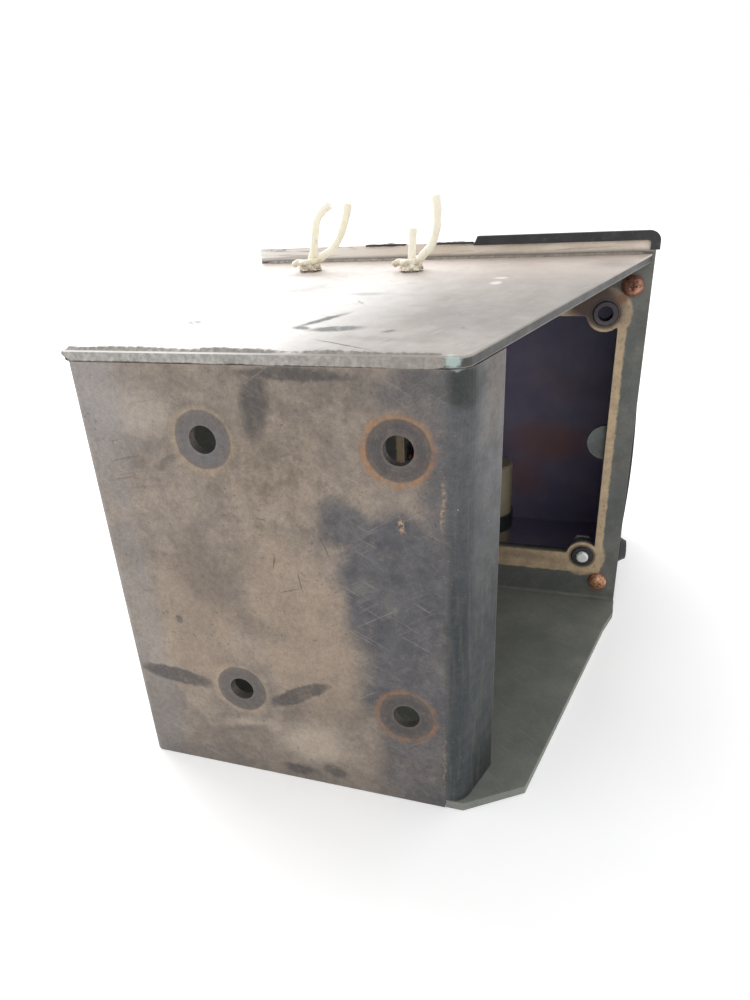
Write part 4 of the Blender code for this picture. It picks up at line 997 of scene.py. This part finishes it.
def cover_mouldings():
    """Stiffening ribs, vent hoods and the button's collar, moulded on the cover's outside."""
    look = NODES["rear_cover"].data.materials[0]
    back, top, left = 291.8, 210.6, 0.7
    ribs = bmesh.new()
    for i in range(8):
        z = 34 + 18 * i
        add_tube(ribs, [(92, back, z), (145, back, z), (198, back, z)], 1.0)
    for i in range(4):
        x = 40 + 45 * i
        z = 112 + 24 * i
        add_tube(ribs, [(x, 190, top), (x, 238, top), (x, 286, top)], 1.0)
        add_tube(ribs, [(left, 190, z), (left, 238, z), (left, 286, z)], 1.0)
    link("cover_ribs", ribs, look)
    hoods = bmesh.new()
    for i in range(6):
        z = 122.6 + 12 * i
        add_tube(hoods, [(20.5, back, z), (47, back, z), (73.5, back, z)], 1.1)
    link("vent_hoods", hoods, look)
    turns = [math.tau * i / 12 for i in range(13)]
    collar = [(123 + 6.6 * math.cos(a), back, 188 + 6.6 * math.sin(a)) for a in turns]
    tube("button_collar", collar, 1.0, look, dome=False)


# For each tie: where it comes through the lid, and its tails' points from there
TIES = {
    "wire_tie_left": (40.2, 149.1, {
        "long": ((0, 0, 0.5), (1.3, 0, 5.0), (3.0, 0, 9.2), (4.8, 0, 18.5), (6.2, 0, 24.5),
                 (9.5, 0, 28.7), (13.4, 0, 31.3)),
        "curled": ((1.5, 1, 1.8), (7.0, 1, 6.0), (13.5, 1, 10.0), (18.8, 1, 17.5),
                   (22.2, 1, 26.0), (23.2, 1, 31.2)),
    }),
    "wire_tie_right": (98.0, 142.8, {
        "stub": ((0, 0, 0.5), (0.8, 0, 9.0), (1.5, 0, 19.2)),
        "long": ((2.5, 1, 1.5), (6.2, 1, 6.5), (10.5, 1, 11.0), (13.2, 1, 18.5), (13.7, 1, 27.0),
                 (12.9, 1, 33.6)),
    }),
}


def tie_knot(node, seat, look):
    """The knot's lumpy ball, which stands in the place of the tie's plain solid."""
    knot = bmesh.new()
    bmesh.ops.create_icosphere(knot, subdivisions=4, radius=1)
    for v in knot.verts:
        twist = 0.16 * math.sin(5 * math.atan2(v.co.y, v.co.x) + 4 * v.co.z)
        lump = 1 + twist + 0.14 * noise.noise(v.co * 2.1 + Vector((seat.x, 0, 0)))
        v.co = Vector((v.co.x * 5.6 * lump, v.co.y * 4.9 * lump, max(v.co.z, -0.15) * 4.4 * lump))
        v.co += seat + Vector((0, 0, 0.4))
    body = link(f"{node}_knot", knot, look)
    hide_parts(node)


def tie_tail(name, path, look, dark):
    """A stiff tail, with the dark wire showing in its cut end."""
    tube(name, path, 2.0, look, bumpy=0.06)
    ahead = (path[-1] - path[-2]).normalized()
    tip = path[-1] + ahead * 0.35
    tube(f"{name}_core", [tip - ahead * 2, tip], 1.0, dark, dome=False)


def wire_ties():
    """The tie wires' tails, knots and cut ends, and what goes through the lid and under it."""
    look = tie_plastic()
    dark = plastic("cut_end", (92, 88, 84), 0.5, 0.6, 0.3)
    for node, (x, y, tails) in TIES.items():
        seat = Vector((x, y, top_mm(y) + 0.9))
        tie_knot(node, seat, look)
        for name, points in tails.items():
            tie_tail(f"{node}_{name}", [seat + Vector(p) for p in points], look, dark)
        wrap = [seat + Vector((4.6 * math.cos(a), 4.0 * math.sin(a), 1.6 + 0.45 * a))
                for a in (i * math.tau / 10 for i in range(14))]
        tube(f"{node}_wrap", wrap, 1.5, look, bumpy=0.1)
        loop = ((-1.5, -1, 3.2), (-5.4, -1.2, 3.8), (-7.6, -1, 3.1), (-8.6, -1, 2.4))
        tube(f"{node}_tail", [seat + Vector(p) for p in loop], 1.6, look, bumpy=0.1)
        plug = [seat + Vector((0, 0, h)) for h in (0.8, -3.5, -8.0)]
        tube(f"{node}_through", plug, 3.0, look, dome=False)
        toggle = [seat + Vector((dx, 0, -9.2 - 0.04 * dx * dx)) for dx in (-5.2, -2.6, 0, 2.6, 5.2)]
        tube(f"{node}_toggle", toggle, 1.9, look, bumpy=0.08)


def place_floor():
    """A pale paper floor, just under the housing."""
    mesh = bmesh.new()
    bmesh.ops.create_grid(mesh, x_segments=8, y_segments=8, size=30)
    data = bpy.data.meshes.new("floor")
    mesh.to_mesh(data)
    mesh.free()
    floor = in_scene("floor", data)
    look = Look("floor_paper")
    mottled = look.span(look.noise(90, 4, 0.5), 0.3, 0.7)
    look.colour = look.mix(mottled, (0.88, 0.88, 0.885, 1), (0.91, 0.91, 0.91, 1))
    look.bump(look.noise(2, 3, 0.6), 0.02, 0.3)
    look.shader.inputs["Emission Color"].default_value = (1.0, 1.0, 1.0, 1.0)
    look.shader.inputs["Emission Strength"].default_value = 0.25
    data.materials.append(look.done(0.85))
    floor.location.z = -0.0002
    floor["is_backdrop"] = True


def place_lights():
    """Soft light from all round, a wide sun from the window and a panel at the back left."""
    world = bpy.data.worlds.new("studio")
    bpy.context.scene.world = world
    world.use_nodes = True
    sky = world.node_tree.nodes["Background"]
    sky.inputs["Color"].default_value = (1.0, 1.0, 1.0, 1.0)
    sky.inputs["Strength"].default_value = 1.0

    sun = bpy.data.lights.new("window_light", "SUN")
    sun.energy = 0.8
    sun.angle = math.radians(50)
    lamp = in_scene("window_light", sun)
    lamp.rotation_euler = Euler((math.radians(-40), math.radians(-28), 0))

    panel = bpy.data.lights.new("back_light", "AREA")
    panel.shape = "RECTANGLE"
    panel.size = 1.3
    panel.size_y = 0.8
    panel.energy = 17
    glow = in_scene("back_light", panel)
    glow.location = (-1.30, 0.80, 0.95)
    aim = Vector((-0.05, 0.0, 0.15)) - glow.location
    glow.rotation_euler = aim.to_track_quat("-Z", "Y").to_euler()
    glow.visible_camera = False


def place_camera():
    data = bpy.data.cameras.new("camera")
    data.sensor_width = 36
    data.lens = CAMERA_LENS_MM
    made = in_scene("camera", data)
    made.location = (CAMERA_MM + CORNER_MM) * MM
    made.rotation_euler = [math.radians(turn) for turn in CAMERA_TURNS]
    scene = bpy.context.scene
    scene.camera = made
    scene.view_settings.view_transform = "Standard"
    scene.view_settings.look = "None"


place_camera()
place_floor()
place_lights()
paint_nodes()
soften_nodes()
welds()
torn_edging()
wire_ties()
cover_mouldings()

[[list(corner) for corner in pair] for pair in (started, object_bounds())]
